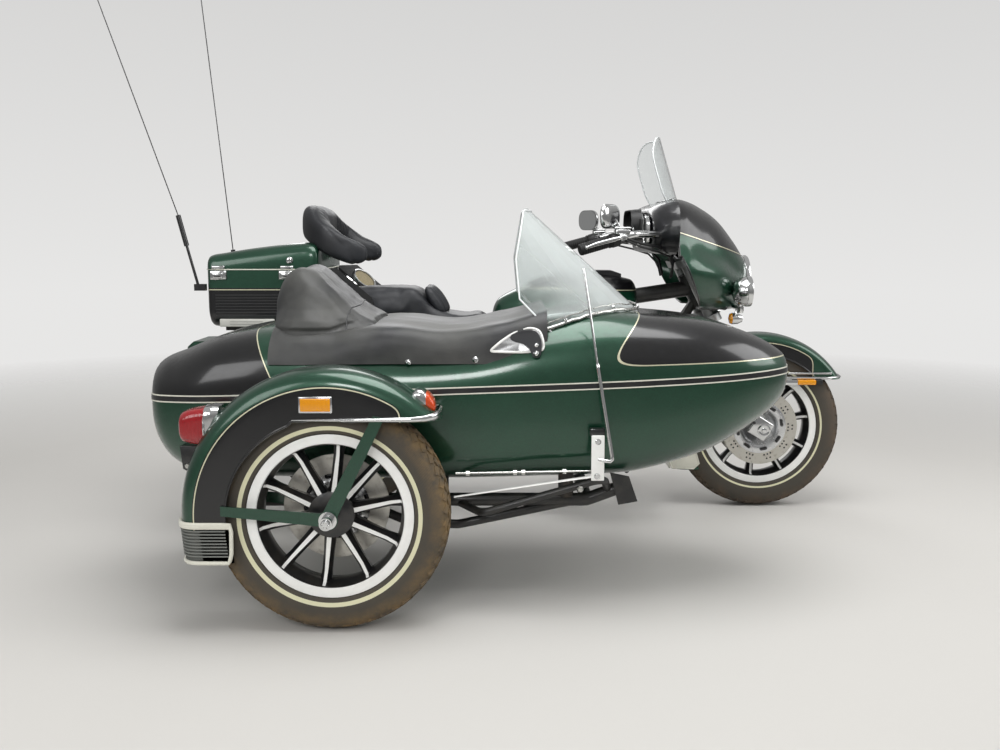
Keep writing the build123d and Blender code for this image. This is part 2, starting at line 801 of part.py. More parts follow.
# Distance to the left, height and radius of each instrument face
DIAL_ROWS = ((-232, 1075, 52), (232, 1075, 52), (-72, 1090, 48), (72, 1090, 48), (0, 1040, 26))
with BuildPart() as fairing_inner:
    hull(INNER_ROWS, 0, ruled=True)
    for y, height, radius in DIAL_ROWS:
        disc((1130, y, height), radius, 22, axis=(1, 0, 0))
    add(handlebar.part, mode=Mode.SUBTRACT)
fairing_inner.part.label = "fairing_inner"

# Windscreen clamped between the two fairing parts, bulging forward and leaning back
SCREEN_RADIUS = 360.0
SCREEN_SHEET = 4.0
with BuildPart() as windscreen:
    with BuildSketch(Plane(origin=(1262, 0, 1186), x_dir=(0, 1, 0), z_dir=(-0.3, 0, 1))):
        with Locations((0, SCREEN_RADIUS)):
            Circle(SCREEN_RADIUS + SCREEN_SHEET)
            Circle(SCREEN_RADIUS, mode=Mode.SUBTRACT)
    extrude(amount=300)
    with BuildSketch(across(900)):
        with Locations((0, 1270)):
            RectangleRounded(440, 300, 110)
    extrude(amount=500, mode=Mode.INTERSECT)
    hull(FAIRING_ROWS, 0, mode=Mode.SUBTRACT)
    add(fairing_inner.part, mode=Mode.SUBTRACT)
    block((1216, -230, 1120), (1230, 230, 1186), mode=Mode.SUBTRACT)
windscreen.part.label = "windscreen"

with BuildPart() as mirrors:
    for hand in (-1, 1):
        bar([(1020, 412 * hand, 1060), (985, 425 * hand, 1100)], 5)
        mirror_face = Plane(
            origin=(962, 424 * hand, 1122),
            x_dir=(-0.57 * hand, 0.82, 0),
            z_dir=(0.82, 0.57 * hand, 0),
        )
        with BuildSketch(mirror_face):
            RectangleRounded(120, 84, 36)
        extrude(amount=25)
    add(handlebar.part, mode=Mode.SUBTRACT)
    add(hand_controls.part, mode=Mode.SUBTRACT)
mirrors.part.label = "mirrors"

# Sidecar body: x, half width, low, high, corner radius
BODY_ROWS = (
    (-435, 110, 562, 628, 30),
    (-405, 215, 455, 690, 95),
    (-330, 270, 385, 727, 125),
    (-200, 302, 362, 775, 135),
    (0, 310, 357, 800, 135),
    (250, 310, 355, 762, 130),
    (500, 310, 355, 772, 130),
    (700, 309, 356, 825, 150),
    (860, 306, 360, 840, 150),
    (1000, 297, 372, 833, 150),
    (1200, 262, 428, 811, 140),
    (1340, 205, 505, 766, 110),
    (1425, 135, 572, 718, 65),
    (1457, 70, 632, 682, 22),
)
COVER_ROWS = (
    (-92, 195, 690, 860, 80),
    (-50, 245, 690, 955, 110),
    (30, 250, 690, 972, 110),
    (110, 255, 690, 922, 100),
    (200, 270, 690, 846, 70),
    (300, 288, 690, 808, 50),
    (450, 289, 690, 792, 45),
    (600, 289, 690, 818, 50),
    (720, 275, 690, 848, 60),
)
with BuildPart() as body_form:
    hull(BODY_ROWS, BODY_Y)

with BuildPart() as sidecar_body:
    hull(BODY_ROWS, BODY_Y)
    hull(BODY_ROWS[1:-1], BODY_Y, inset=BODY_WALL, mode=Mode.SUBTRACT)
    with BuildSketch(Plane.XY.offset(660)):
        with Locations((350, BODY_Y)):
            RectangleRounded(660, 460, 150)
    extrude(amount=250, mode=Mode.SUBTRACT)
sidecar_body.part.label = "sidecar_body"

COVER_INNER_ROWS = tuple(
    (x + COVER_WALL if x < 0 else min(x, 720 - COVER_WALL), half, low - 30, high, corner)
    for x, half, low, high, corner in COVER_ROWS
)
with BuildPart() as tonneau:
    hull(COVER_ROWS, BODY_Y, ruled=True)
    hull(COVER_INNER_ROWS, BODY_Y, inset=COVER_WALL, ruled=True, mode=Mode.SUBTRACT)
    add(body_form.part, mode=Mode.SUBTRACT)
tonneau.part.label = "tonneau"

# Sidecar windscreen: a leaning cone of clear sheet, cut away behind
# Height, centre x, half length, half width
SCREEN_ROWS = ((760, 660, 430, 265), (1000, 600, 225, 205), (1140, 565, 105, 170))
SCREEN_THICK = 4.0
SCREEN_SIDES = 32


def screen_cone(inset, mode):
    """The screen's cone, its level sections ellipses of SCREEN_SIDES flats."""
    sections = []
    for height, centre_x, half_length, half_width in SCREEN_ROWS:
        points = []
        for index in range(SCREEN_SIDES):
            angle = radians(360 * index / SCREEN_SIDES)
            points.append(
                (
                    centre_x + (half_length - inset) * cos(angle),
                    BODY_Y + (half_width - inset) * sin(angle),
                )
            )
        with BuildSketch(Plane.XY.offset(height), mode=Mode.PRIVATE) as section:
            with BuildLine():
                Polyline(*points, close=True)
            make_face()
        sections.append(section.sketch)
    loft(sections, ruled=True, mode=mode)


with BuildPart() as sidecar_windscreen:
    screen_cone(0, Mode.ADD)
    screen_cone(SCREEN_THICK, Mode.SUBTRACT)
    profile(
        ((760, 762), (645, 880), (635, 990), (660, 1136), (1200, 1136), (1200, 762)),
        BODY_Y - 400,
        BODY_Y + 400,
        mode=Mode.INTERSECT,
    )
    add(body_form.part, mode=Mode.SUBTRACT)
    hull(COVER_ROWS, BODY_Y, ruled=True, mode=Mode.SUBTRACT)
sidecar_windscreen.part.label = "sidecar_windscreen"

# Sidecar fender with deep skirts
with BuildPart() as sidecar_fender:
    with BuildSketch(across(SIDECAR_LEAD - 5, -TRACK, TYRE_R + 2)):
        with BuildLine():
            Polyline(
                (-SIDE_FENDER_HALF, SIDE_SKIRT_R),
                (-SIDE_FENDER_HALF, 362),
                (-70, 385),
                (-40, SIDE_FENDER_R - 2),
                (40, SIDE_FENDER_R - 2),
                (70, 385),
                (SIDE_FENDER_HALF, 362),
                (SIDE_FENDER_HALF, SIDE_SKIRT_R),
            )
        trace(line_width=FENDER_SHEET)
    revolve(axis=Axis((SIDECAR_LEAD - 5, -TRACK, TYRE_R + 2), (0, 1, 0)))
    profile(
        (
            (-300, 292),
            (-300, 800),
            (500, 800),
            (500, 580),
            (50, 580),
            (-80, 440),
            (-80, 292),
        ),
        -1500,
        -1100,
        mode=Mode.INTERSECT,
    )
sidecar_fender.part.label = "sidecar_fender"

with BuildPart() as mud_flap:
    outer_face = -TRACK - SIDE_FENDER_HALF - FENDER_SHEET / 2
    profile(
        ((-256, 200), (-272, 312), (-124, 312), (-136, 222), (-158, 200)),
        outer_face - 6,
        outer_face,
    )
    profile(
        ((-256, 200), (-272, 312), (-266, 312), (-250, 200)),
        outer_face - 6,
        -TRACK + SIDE_FENDER_HALF,
    )
mud_flap.part.label = "mud_flap"

# Flat bars from the axle to the fender's skirts, outside and inside the wheel
STAY_THICK = 6.0
STAY_REACH = SIDE_FENDER_HALF + FENDER_SHEET / 2 + STAY_THICK / 2
with BuildPart() as fender_stays:
    for stay_y in (-TRACK - STAY_REACH, -TRACK + STAY_REACH):
        span = (stay_y - STAY_THICK / 2, stay_y + STAY_THICK / 2)
        disc((SIDECAR_LEAD, stay_y, TYRE_R), 26, STAY_THICK)
        profile(((120, 325), (262, 595), (292, 590), (156, 310)), *span)
        profile(((140, 300), (140, 336), (-140, 356), (-140, 330)), *span)
        disc((SIDECAR_LEAD, stay_y, TYRE_R), AXLE_R, 60, mode=Mode.SUBTRACT)
fender_stays.part.label = "fender_stays"

# Sidecar lamps: tail lamp and front marker on the fender's crown, reflector on its side
with BuildPart() as sidecar_lamps:
    profile(
        ((-262, 518), (-266, 590), (-206, 606), (-146, 606), (-200, 500)),
        -TRACK - 52,
        -TRACK + 52,
    )
    profile(
        ((352, 622), (366, 656), (398, 644), (420, 606), (404, 588)),
        -TRACK - 36,
        -TRACK + 36,
    )
    disc((SIDECAR_LEAD - 5, -TRACK, TYRE_R + 2), SIDE_FENDER_R - 3, 300, mode=Mode.SUBTRACT)
    add(sidecar_fender.part, mode=Mode.SUBTRACT)
    block((72, outer_face - 8, 604), (156, outer_face, 644))
sidecar_lamps.part.label = "sidecar_lamps"

# Sidecar chassis: two long rails, cross tubes, axle, struts to the motorcycle
RAIL_RIGHT = -1100.0
RAIL_LEFT = -660.0
GUARD_Y = -1208.0
with BuildPart() as sidecar_frame:
    bar([(-220, RAIL_RIGHT, 300), (840, RAIL_RIGHT, 300), (960, RAIL_RIGHT, 345)], 19, 80)
    bar([(-220, RAIL_LEFT, 300), (840, RAIL_LEFT, 300), (960, RAIL_LEFT, 345)], 19, 80)
    for cross_x in (-200, 300, 840):
        bar([(cross_x, RAIL_RIGHT, 300), (cross_x, RAIL_LEFT, 300)], 19)
    bar([(SIDECAR_LEAD, RAIL_RIGHT, 300), (SIDECAR_LEAD, -1180, TYRE_R)], 24)
    bar([(SIDECAR_LEAD, -1170, TYRE_R), (SIDECAR_LEAD, -1428, TYRE_R)], AXLE_R)
    bar([(160, RAIL_LEFT, 300), (220, -400, 330), (395, -101, 372)], 16, 80)
    bar([(930, RAIL_LEFT, 335), (1000, -420, 245), (1030, -116, 190)], 16, 60)
    bar(
        [
            (190, RAIL_RIGHT, 292),
            (330, RAIL_RIGHT, 232),
            (470, RAIL_RIGHT, 226),
            (838, RAIL_RIGHT, 304),
        ],
        13,
        60,
    )
    bar([(470, RAIL_RIGHT, 292), (540, GUARD_Y, 288), (880, GUARD_Y, 388), (900, RAIL_RIGHT, 330)], 11, 40)
    profile(((905, 384), (960, 372), (985, 300), (930, 290)), RAIL_RIGHT - 26, RAIL_RIGHT - 17)
    add(bike_frame.part, mode=Mode.SUBTRACT)
sidecar_frame.part.label = "sidecar_frame"

# Width marker: a tapered rod hooked to an upright plate on the side rail
with BuildPart() as marker_rod:
    block((842, GUARD_Y - 17, 384), (878, GUARD_Y - 11, 512))
    bar([(862, GUARD_Y - 14, 446), (900, GUARD_Y - 30, 440), (858, -1212, 700)], 5.5, 14)
    bar([(859, -1212.7, 694), (819, -1166, 968)], 3.5)
    add(sidecar_frame.part, mode=Mode.SUBTRACT)
marker_rod.part.label = "marker_rod"

# Rubber-cushioned mounts between the chassis and the body
with BuildPart() as body_mounts:
    for mount_x in (-150, 420, 780):
        for mount_y in (RAIL_RIGHT, RAIL_LEFT):
            bar([(mount_x, mount_y, 310), (mount_x, mount_y, 385)], 22)
    add(body_form.part, mode=Mode.SUBTRACT)
    add(sidecar_frame.part, mode=Mode.SUBTRACT)
body_mounts.part.label = "body_mounts"

# Every piece is written about the footprint's centre
TO_CENTRE = Location((-CENTRE_X, -CENTRE_Y, 0))
PIECES = (
    front_tyre,
    rear_tyre,
    sidecar_tyre,
    front_rim,
    rear_rim,
    sidecar_rim,
    front_brake_discs,
    rear_brake_disc,
    sidecar_brake_disc,
    bike_frame,
    engine_cases,
    primary_cover,
    cylinders,
    air_cleaner,
    exhaust,
    fuel_tank,
    tank_console,
    seat,
    rider_backrest,
    trunk_body,
    trunk_lid,
    backrest,
    trunk_speakers,
    antennas,
    saddlebags,
    left_bag_lid,
    right_bag_lid,
    rear_fender,
    plate_bracket,
    rear_lamps,
    swingarm,
    footboards,
    engine_guard,
    side_stand,
    fork,
    front_fender,
    fairing,
    fairing_inner,
    windscreen,
    headlamp,
    spot_lamps,
    handlebar,
    hand_controls,
    mirrors,
    sidecar_body,
    tonneau,
    sidecar_windscreen,
    sidecar_fender,
    mud_flap,
    fender_stays,
    sidecar_lamps,
    sidecar_frame,
    marker_rod,
    body_mounts,
)
os.makedirs("parts", exist_ok=True)
for piece in PIECES:
    placed = piece.part.moved(TO_CENTRE)
    placed.label = piece.part.label
    export_step(placed, f"parts/{placed.label}.step")
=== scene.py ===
# %% [markdown]
# # A touring motorcycle and its sidecar
# The solids come from CAD and stay where they are. Here each of them gets its finish, and the
# forms that CAD leaves plain, such as tread, trim and upholstery, are modelled round them.

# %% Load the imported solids
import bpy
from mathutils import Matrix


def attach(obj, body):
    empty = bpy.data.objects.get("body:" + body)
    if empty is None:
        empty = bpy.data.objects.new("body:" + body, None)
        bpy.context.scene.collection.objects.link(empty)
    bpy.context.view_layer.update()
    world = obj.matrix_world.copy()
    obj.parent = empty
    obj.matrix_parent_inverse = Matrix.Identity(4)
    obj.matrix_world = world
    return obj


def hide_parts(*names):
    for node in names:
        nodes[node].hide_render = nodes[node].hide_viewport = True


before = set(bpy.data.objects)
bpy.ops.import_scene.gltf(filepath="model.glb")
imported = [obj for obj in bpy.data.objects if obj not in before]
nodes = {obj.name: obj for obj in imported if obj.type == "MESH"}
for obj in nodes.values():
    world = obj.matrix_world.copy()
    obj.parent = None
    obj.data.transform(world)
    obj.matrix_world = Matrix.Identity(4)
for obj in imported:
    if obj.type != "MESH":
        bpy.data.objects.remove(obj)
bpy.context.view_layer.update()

# %% Modules
from math import atan2, cos, pi, radians, sin

import bmesh
import bpy
from mathutils import Matrix, Vector, noise
from mathutils.bvhtree import BVHTree

# %% [markdown]
# The workshop numbers put zero on the ground under the rear axle: x runs forward, y to the
# left and z up. The row frame is centred on the footprint, so every place moves by one offset.

# %% Where the workshop's zero lies
ROW_OFFSET = Vector((-0.53, 0.48, 0.0))
SIDECAR_Y = -0.88
REAR_AXLE = Vector((0.0, 0.0, 0.318))
FRONT_AXLE = Vector((1.6, 0.0, 0.318))
SIDE_AXLE = Vector((0.14, -1.3, 0.318))

# %% [markdown]
# ## Camera
# The photograph was taken with a 37 mm lens from beside the sidecar, a little above the
# saddle's height and tilted down by under eight degrees. The same view makes it possible to
# compare the two region by region.

# %% Camera at the photograph's angle
CAMERA_PLACE = Vector((0.59, -4.0, 1.055)) + ROW_OFFSET
CAMERA_TILT = 7.7
camera_data = bpy.data.cameras.new("camera")
camera_data.sensor_width = 36
camera_data.lens = 36.97
camera = bpy.data.objects.new("camera", camera_data)
camera.location = CAMERA_PLACE
camera.rotation_euler = (radians(90 - CAMERA_TILT), 0, 0)
bpy.context.scene.collection.objects.link(camera)
bpy.context.scene.camera = camera
bpy.context.scene.view_settings.view_transform = "Standard"
print("camera at", [round(v, 3) for v in camera.location])

# %% [markdown]
# ## Nodes and colours
# Colours are written as the hex values that a paint chart gives, and one function turns them
# into the linear values that a shader wants. The others add nodes with their settings and
# links, so a material reads as a short list.

# %% Colour and node helpers
def linear(hex_colour):
    """An sRGB hex colour as linear RGBA."""
    channels = [int(hex_colour[i:i + 2], 16) / 255 for i in (1, 3, 5)]
    return [c / 12.92 if c <= 0.04045 else ((c + 0.055) / 1.055) ** 2.4 for c in channels] + [1.0]


def fill_in(tree, socket, value):
    """Links another node's output to a socket, or writes a plain value or hex colour there."""
    if isinstance(value, bpy.types.NodeSocket):
        tree.links.new(value, socket)
    else:
        socket.default_value = linear(value) if isinstance(value, str) else value


def add_node(tree, kind, *inputs, out=None, **settings):
    """Adds a node and gives an output. Inputs go by order or capitalised name, options by name."""
    made = tree.nodes.new("ShaderNode" + kind)
    for key in filter(str.islower, settings):
        setattr(made, key, settings[key])
    shown = [socket for socket in made.inputs if socket.enabled]
    by_name = {socket.name: socket for socket in reversed(shown)}
    for socket, value in zip(shown, inputs):
        fill_in(tree, socket, value)
    for key, value in settings.items():
        if not key.islower():
            fill_in(tree, by_name[key.replace("_", " ")], value)
    return made.outputs[out] if out else next(s for s in made.outputs if s.enabled)


def calc(tree, operation, *terms):
    """A sum on numbers and other nodes' outputs."""
    return add_node(tree, "Math", *terms, operation=operation)


def mixed(tree, share, first, second, **options):
    """A colour between two others."""
    return add_node(tree, "Mix", share, first, second, data_type="RGBA", **options)


def dress(tree, **sources):
    """Feeds values or other nodes' outputs to the sockets of a material's shader."""
    for key, value in sources.items():
        fill_in(tree, tree.nodes["Principled BSDF"].inputs[key.replace("_", " ")], value)


def surface(name, colour, **sockets):
    """A material of one principled shader. Gives it, its tree and the place on the object."""
    material = bpy.data.materials.new(name)
    material.use_nodes = True
    dress(material.node_tree, Base_Color=colour, **sockets)
    return material, material.node_tree, add_node(material.node_tree, "TexCoord", out="Object")


# %% [markdown]
# ## Paint
# The paint is a dark metallic green under clear lacquer, beside gloss black panels that are
# edged by a hair-thin cream line. Metal flake scatters light broadly, so the green is partly
# metallic with a middling roughness, and the lacquer is a smooth coat over it. Flakes are a
# tenth of a millimetre across, too fine to show, so they are drawn at about two millimetres.

# %% Where the black panels lie on each painted piece
GREEN, BLACK, CREAM = "#0B3F2A", "#060609", "#D9D6B8"
LINE_HALF = 0.0016


def above_line(tree, x, z, start, end):
    """Height over a sloping line through two (x, z) points, in metres."""
    slope = (end[1] - start[1]) / (end[0] - start[0])
    line = calc(tree, "MULTIPLY_ADD", x, slope, start[1] - slope * start[0])
    return calc(tree, "SUBTRACT", z, line)


def corner_of(tree, first, second, rounding):
    """Where two distances are both positive, with a rounded corner between them."""
    return calc(tree, "SMOOTH_MIN", first, second, rounding)


def painted(name, panel=None, line_at=0.002, worn=0.35):
    """Green enamel. panel(tree, x, y, z) gives a distance that is positive inside the black."""
    material, tree, place = surface(name, GREEN, Metallic=0.55, Roughness=0.38, Coat_Weight=1.0,
        Coat_Roughness=0.13)
    flake = add_node(tree, "TexVoronoi", Scale=480.0, Vector=place, out="Color")
    flake_grey = add_node(tree, "RGBToBW", flake)
    cloud = add_node(tree, "TexNoise", Scale=7.0, Detail=3.0, Vector=place)
    shade = calc(tree, "MULTIPLY_ADD", flake_grey, 0.3, 0.82)
    wash = calc(tree, "MULTIPLY_ADD", cloud, 0.26, 0.87)
    level = calc(tree, "MULTIPLY", shade, wash)
    green = mixed(tree, 1.0, GREEN, level, blend_type="MULTIPLY")
    colour = green
    if panel:
        axes = add_node(tree, "SeparateXYZ", place).node.outputs
        x = calc(tree, "SUBTRACT", axes["X"], ROW_OFFSET.x)
        y = calc(tree, "SUBTRACT", axes["Y"], ROW_OFFSET.y)
        inside = panel(tree, x, y, axes["Z"])
        black = calc(tree, "GREATER_THAN", inside, 0.0)
        colour = mixed(tree, black, green, BLACK)
        line = calc(tree, "COMPARE", inside, line_at, LINE_HALF)
        colour = mixed(tree, line, colour, CREAM)
    dress(tree, Base_Color=colour)
    swirl = add_node(tree, "TexNoise", Scale=60.0, Detail=5.0, Roughness=0.7, Vector=place)
    dull = add_node(tree, "MapRange", swirl, 0.45, 0.75, 0.33, 0.33 + worn * 0.5)
    dress(tree, Roughness=dull)
    return material


def sidecar_panels(tree, x, y, z):
    """Black on the nose's deck and on the tail's deck, with the green band between them."""
    nose_low = above_line(tree, x, z, (0.933, 0.696), (1.38, 0.703))
    nose_rear = above_line(tree, x, z, (0.915, 0.742), (0.983, 0.8235))
    behind = calc(tree, "MULTIPLY", nose_rear, -0.64)
    nose = corner_of(tree, nose_low, behind, 0.11)
    tail_front = above_line(tree, x, z, (-0.101, 0.793), (-0.041, 0.661))
    ahead = calc(tree, "MULTIPLY", tail_front, -0.41)
    tail_low = above_line(tree, x, z, (-0.3, 0.6), (1.0, 0.648))
    tail = corner_of(tree, tail_low, ahead, 0.01)
    return calc(tree, "MAXIMUM", nose, tail)


def round_panel(centre, outer_r, low_z, back_x):
    """A side panel under an arc about a wheel's centre, above a height and behind a place."""
    def panel(tree, x, y, z):
        dx = calc(tree, "SUBTRACT", x, centre.x)
        dz = calc(tree, "SUBTRACT", z, centre.z)
        flat = add_node(tree, "CombineXYZ", X=dx, Z=dz)
        reach = add_node(tree, "VectorMath", flat, operation="LENGTH", out="Value")
        inside = calc(tree, "SUBTRACT", outer_r, reach)
        front = calc(tree, "SUBTRACT", back_x, x)
        over = calc(tree, "SUBTRACT", z, low_z)
        shape = corner_of(tree, inside, front, 0.03)
        return corner_of(tree, shape, over, 0.001)
    return panel


def below_height(height):
    """Black under a level line, as on the trunk and the saddlebags."""
    return lambda tree, x, y, z: calc(tree, "SUBTRACT", height, z)


def over_height(height, slope, at_x):
    """Black over a sloping line, as on the fairing and the tank."""
    start, end = (at_x, height), (at_x + 1.0, height + slope)
    return lambda tree, x, y, z: above_line(tree, x, z, start, end)


# %% Paint on the solids that carry it
FENDER_CENTRE = Vector((0.135, -1.3, 0.32))
paints = {
    "sidecar_body": painted("green_enamel_sidecar", sidecar_panels),
    "sidecar_fender": painted("green_enamel_sidecar_fender",
                              round_panel(FENDER_CENTRE, 0.352, 0.18, 0.335), 0.004),
    "front_fender": painted("green_enamel_front_fender",
                            round_panel(FRONT_AXLE, 0.335, 0.18, 1.8), 0.004),
    "rear_fender": painted("green_enamel_rear_fender"),
    "trunk_lid": painted("green_enamel_lid"),
    "trunk_body": painted("green_enamel_trunk", below_height(0.868), 0.006),
    "saddlebags": painted("green_enamel_bags", below_height(0.52), 0.006),
    "left_bag_lid": painted("green_enamel_bag_lids"),
    "fuel_tank": painted("green_enamel_tank", over_height(0.85, -0.02, 0.85), 0.006),
    "fairing": painted("green_enamel_fairing", over_height(1.01, -0.3, 1.4), 0.006),
    "fender_stays": painted("green_enamel_stays", worn=0.7),
}
paints["right_bag_lid"] = paints["left_bag_lid"]
print(len(paints), "painted pieces")

# %% [markdown]
# ## Metals
# Chrome is nearly a mirror, with the faint haze that years of polishing leave. Aluminium is
# softer and greyer, brake steel is brushed by the pads, and the engine wears a wrinkle coat.

# %% Metals
def metal(name, colour, roughness, haze=0.06, speck_mm=9.0, stain=None, stain_amount=0.5):
    """A bare or plated metal whose roughness and tint drift in blotches of a real size."""
    material, tree, place = surface(name, colour, Metallic=1.0, Roughness=roughness)
    blotch = add_node(tree, "TexNoise", Scale=1000 / speck_mm, Detail=4.0, Vector=place)
    rough = add_node(tree, "MapRange", blotch, 0.35, 0.7, roughness, roughness + haze)
    dress(tree, Roughness=rough)
    if stain:
        spot = add_node(tree, "MapRange", blotch, 0.56, 0.72, 0.0, stain_amount)
        tint = mixed(tree, spot, colour, stain)
        dress(tree, Base_Color=tint)
    return material


chrome = metal("chrome_plate", "#D5D6D6", 0.07, 0.1, 14.0)
tired_chrome = metal("pitted_chrome", "#BDBDB9", 0.16, 0.22, 5.0, "#6F655A", 0.4)
aluminium = metal("polished_aluminium", "#D2D3D4", 0.2, 0.1, 40.0)
cast_aluminium = metal("cast_aluminium", "#A9AAAA", 0.34, 0.18, 4.0, "#6B6A66", 0.5)
brake_steel = metal("brake_steel", "#CFCCC4", 0.36, 0.18, 14.0, "#9A8C78", 0.35)


# %% Painted and coated metals
def coated(name, colour, roughness, grain_mm, bump_mm, coat=0.0, dust="#4A463F", dust_amount=0.35):
    """Paint or plastic over a hard part, with its grain and a film of dust where it settles."""
    material, tree, place = surface(name, colour, Roughness=roughness, Coat_Weight=coat,
        Coat_Roughness=0.08)
    grain = add_node(tree, "TexNoise", Scale=1000 / grain_mm, Detail=4.0, Roughness=0.6,
        Vector=place)
    bump = add_node(tree, "Bump", Strength=0.6, Distance=bump_mm / 1000, Height=grain)
    dress(tree, Normal=bump)
    cloud = add_node(tree, "TexNoise", Scale=22.0, Detail=6.0, Roughness=0.65, Vector=place)
    film = add_node(tree, "MapRange", cloud, 0.42, 0.78, 0.0, dust_amount)
    tint = mixed(tree, film, colour, dust)
    dress(tree, Base_Color=tint)
    rough = calc(tree, "MULTIPLY_ADD", film, 0.5, roughness)
    dress(tree, Roughness=rough)
    return material


black_enamel = coated("black_enamel", "#101114", 0.28, 3.0, 0.02, coat=0.6, dust_amount=0.18)
dusty_frame = coated("dusty_black_frame", "#141414", 0.42, 3.0, 0.05, coat=0.2, dust_amount=0.45)
wrinkle_black = coated("wrinkle_black", "#17181A", 0.52, 1.2, 0.35, dust_amount=0.3)
wheel_black = coated("wheel_black", "#131416", 0.3, 3.0, 0.03, coat=0.4, dust="#5A5248",
    dust_amount=0.3)
moulded_black = coated("moulded_black_abs", "#121315", 0.45, 0.9, 0.1, dust_amount=0.16)
soft_rubber = coated("moulded_rubber", "#1C1B1A", 0.7, 1.5, 0.15, dust="#6B5F50", dust_amount=0.45)
grip_rubber = coated("grip_rubber", "#101112", 0.62, 1.5, 0.12, dust="#3A3733", dust_amount=0.2)
satin_black = coated("satin_black_lacquer", "#0B0C10", 0.3, 6.0, 0.02, coat=0.7, dust="#3C3A45",
    dust_amount=0.25)
grey_rubber = coated("grey_flap_rubber", "#70736F", 0.62, 1.5, 0.15, dust="#8C8880",
    dust_amount=0.4)
pale_panel = coated("pale_plastic_panel", "#C9C8C2", 0.4, 2.0, 0.03, dust="#A09C90",
    dust_amount=0.35)
cream_trim = coated("cream_trim", "#DAD9CC", 0.35, 2.0, 0.02, coat=0.5, dust="#A09B8B",
    dust_amount=0.25)
machined = coated("lacquered_machined_face", "#F1F1EE", 0.34, 40.0, 0.01, coat=0.5, dust="#C9C6BC",
    dust_amount=0.25)

# %% [markdown]
# ## Clear and coloured plastics
# The screens are acrylic sheet, slightly hazed by sun, so a small part of their light is
# scattered white instead of passing through. Lenses are ribbed inside to spread the bulb's light.

# %% Screens, lenses and glass
def clear_sheet(name, colour, through, roughness, whitest=None):
    """Clear plastic. whitest is (x, z, x, z, depth): a line towards which the sheet turns whiter
    and less clear.
    """
    material, tree, place = surface(name, colour, Roughness=roughness, IOR=1.49,
        Transmission_Weight=through)
    haze = add_node(tree, "TexNoise", Scale=9.0, Detail=3.0, Vector=place)
    rough = add_node(tree, "MapRange", haze, 0.4, 0.75, roughness, roughness + 0.1)
    dress(tree, Roughness=rough)
    if whitest:
        ax, az, bx, bz, depth = whitest
        across = Vector((bz - az, 0.0, ax - bx)).normalized()
        across = -across if across.z < 0 else across
        under = add_node(tree, "VectorMath", place, across, operation="DOT_PRODUCT", out="Value")
        level = across.dot(Vector((ax, 0.0, az)) + ROW_OFFSET)
        cloudy = add_node(tree, "MapRange", under, level - depth, level + 0.01, through, 0.62,
            interpolation_type="SMOOTHSTEP")
        dress(tree, Transmission_Weight=cloudy)
    return material


def lens(name, colour, rib_mm=5.0):
    """A coloured lens, ribbed inside."""
    material, tree, place = surface(name, colour, Roughness=0.16, Transmission_Weight=0.25,
        Coat_Weight=0.6, Coat_Roughness=0.05)
    ribs = add_node(tree, "TexWave", Scale=1000 / rib_mm / 20 * pi, Distortion=0.0, Vector=place,
        wave_type="BANDS", bands_direction="X")
    bump = add_node(tree, "Bump", Strength=0.5, Distance=0.0008, Height=ribs)
    dress(tree, Normal=bump)
    return material


# The sidecar screen turns whiter and less clear towards its upper rear edge.
acrylic = clear_sheet("hazed_acrylic", "#EFF4F3", 0.93, 0.04, (0.651, 1.128, 0.991, 0.83, 0.21))
clear_acrylic = clear_sheet("clear_acrylic", "#F6F9F9", 0.97, 0.02)
# The screens' edges wear an opaque near-white: a painted highlight along each edge.
edge_highlight_white = coated("polished_sheet_edge", "#EEF2F2", 0.2, 20.0, 0.01, coat=0.5, dust="#D5D8D6",
    dust_amount=0.2)
lamp_glass = clear_sheet("lamp_glass", "#F2F4F4", 0.9, 0.03)
amber_lens = lens("amber_lens", "#F5A000")
orange_lens = lens("orange_lens", "#E8521C")
red_lens = lens("red_lens", "#A3141C")
mirror_glass = metal("mirror_glass", "#E8EAEA", 0.02, 0.02, 30.0)

# %% [markdown]
# ## Rubber and vinyl
# Tyre rubber greys with dust, and mud dries brown on the tread. A cream band is moulded into
# each sidewall. Bands and mud follow the wheel's own radius, measured from its axle.

# %% Tyre rubber
def tyre_rubber(name, axle, band, mud, mud_amount):
    """band is the cream line's inner and outer radius; mud the colour of the tread's dirt."""
    material, tree, place = surface(name, "#26241F", Roughness=0.82)
    centre = axle + ROW_OFFSET
    near = add_node(tree, "Mapping", Location=-centre, Vector=place)
    flat = add_node(tree, "VectorMath", near, (1.0, 0.0, 1.0), operation="MULTIPLY")
    reach = add_node(tree, "VectorMath", flat, operation="LENGTH", out="Value")
    cloud = add_node(tree, "TexNoise", Scale=16.0, Detail=8.0, Roughness=0.7, Vector=place)
    outward = add_node(tree, "MapRange", reach, 0.262, 0.312, 0.05, mud_amount)
    patchy = add_node(tree, "MapRange", cloud, 0.34, 0.66)
    dirt = calc(tree, "MULTIPLY", outward, patchy)
    muddy = mixed(tree, dirt, "#45413A", mud)
    middle, half = (band[0] + band[1]) / 2, (band[1] - band[0]) / 2
    cream = calc(tree, "COMPARE", reach, middle, half)
    colour = mixed(tree, cream, muddy, "#D8D5B4")
    dress(tree, Base_Color=colour)
    ribs = calc(tree, "SINE", calc(tree, "MULTIPLY", reach, 1800.0))
    bump = add_node(tree, "Bump", Strength=0.25, Distance=0.0006, Height=ribs)
    rough_grain = add_node(tree, "Bump", Strength=0.5, Distance=0.001, Height=cloud, Normal=bump)
    dress(tree, Normal=rough_grain)
    return material


side_rubber = tyre_rubber("tyre_rubber_sidecar", SIDE_AXLE, (0.2345, 0.246), "#8A6F45", 0.85)
front_rubber = tyre_rubber("tyre_rubber_front", FRONT_AXLE, (0.236, 0.243), "#6B553F", 0.7)
rear_rubber = tyre_rubber("tyre_rubber_rear", REAR_AXLE, (0.236, 0.243), "#5E5142", 0.7)


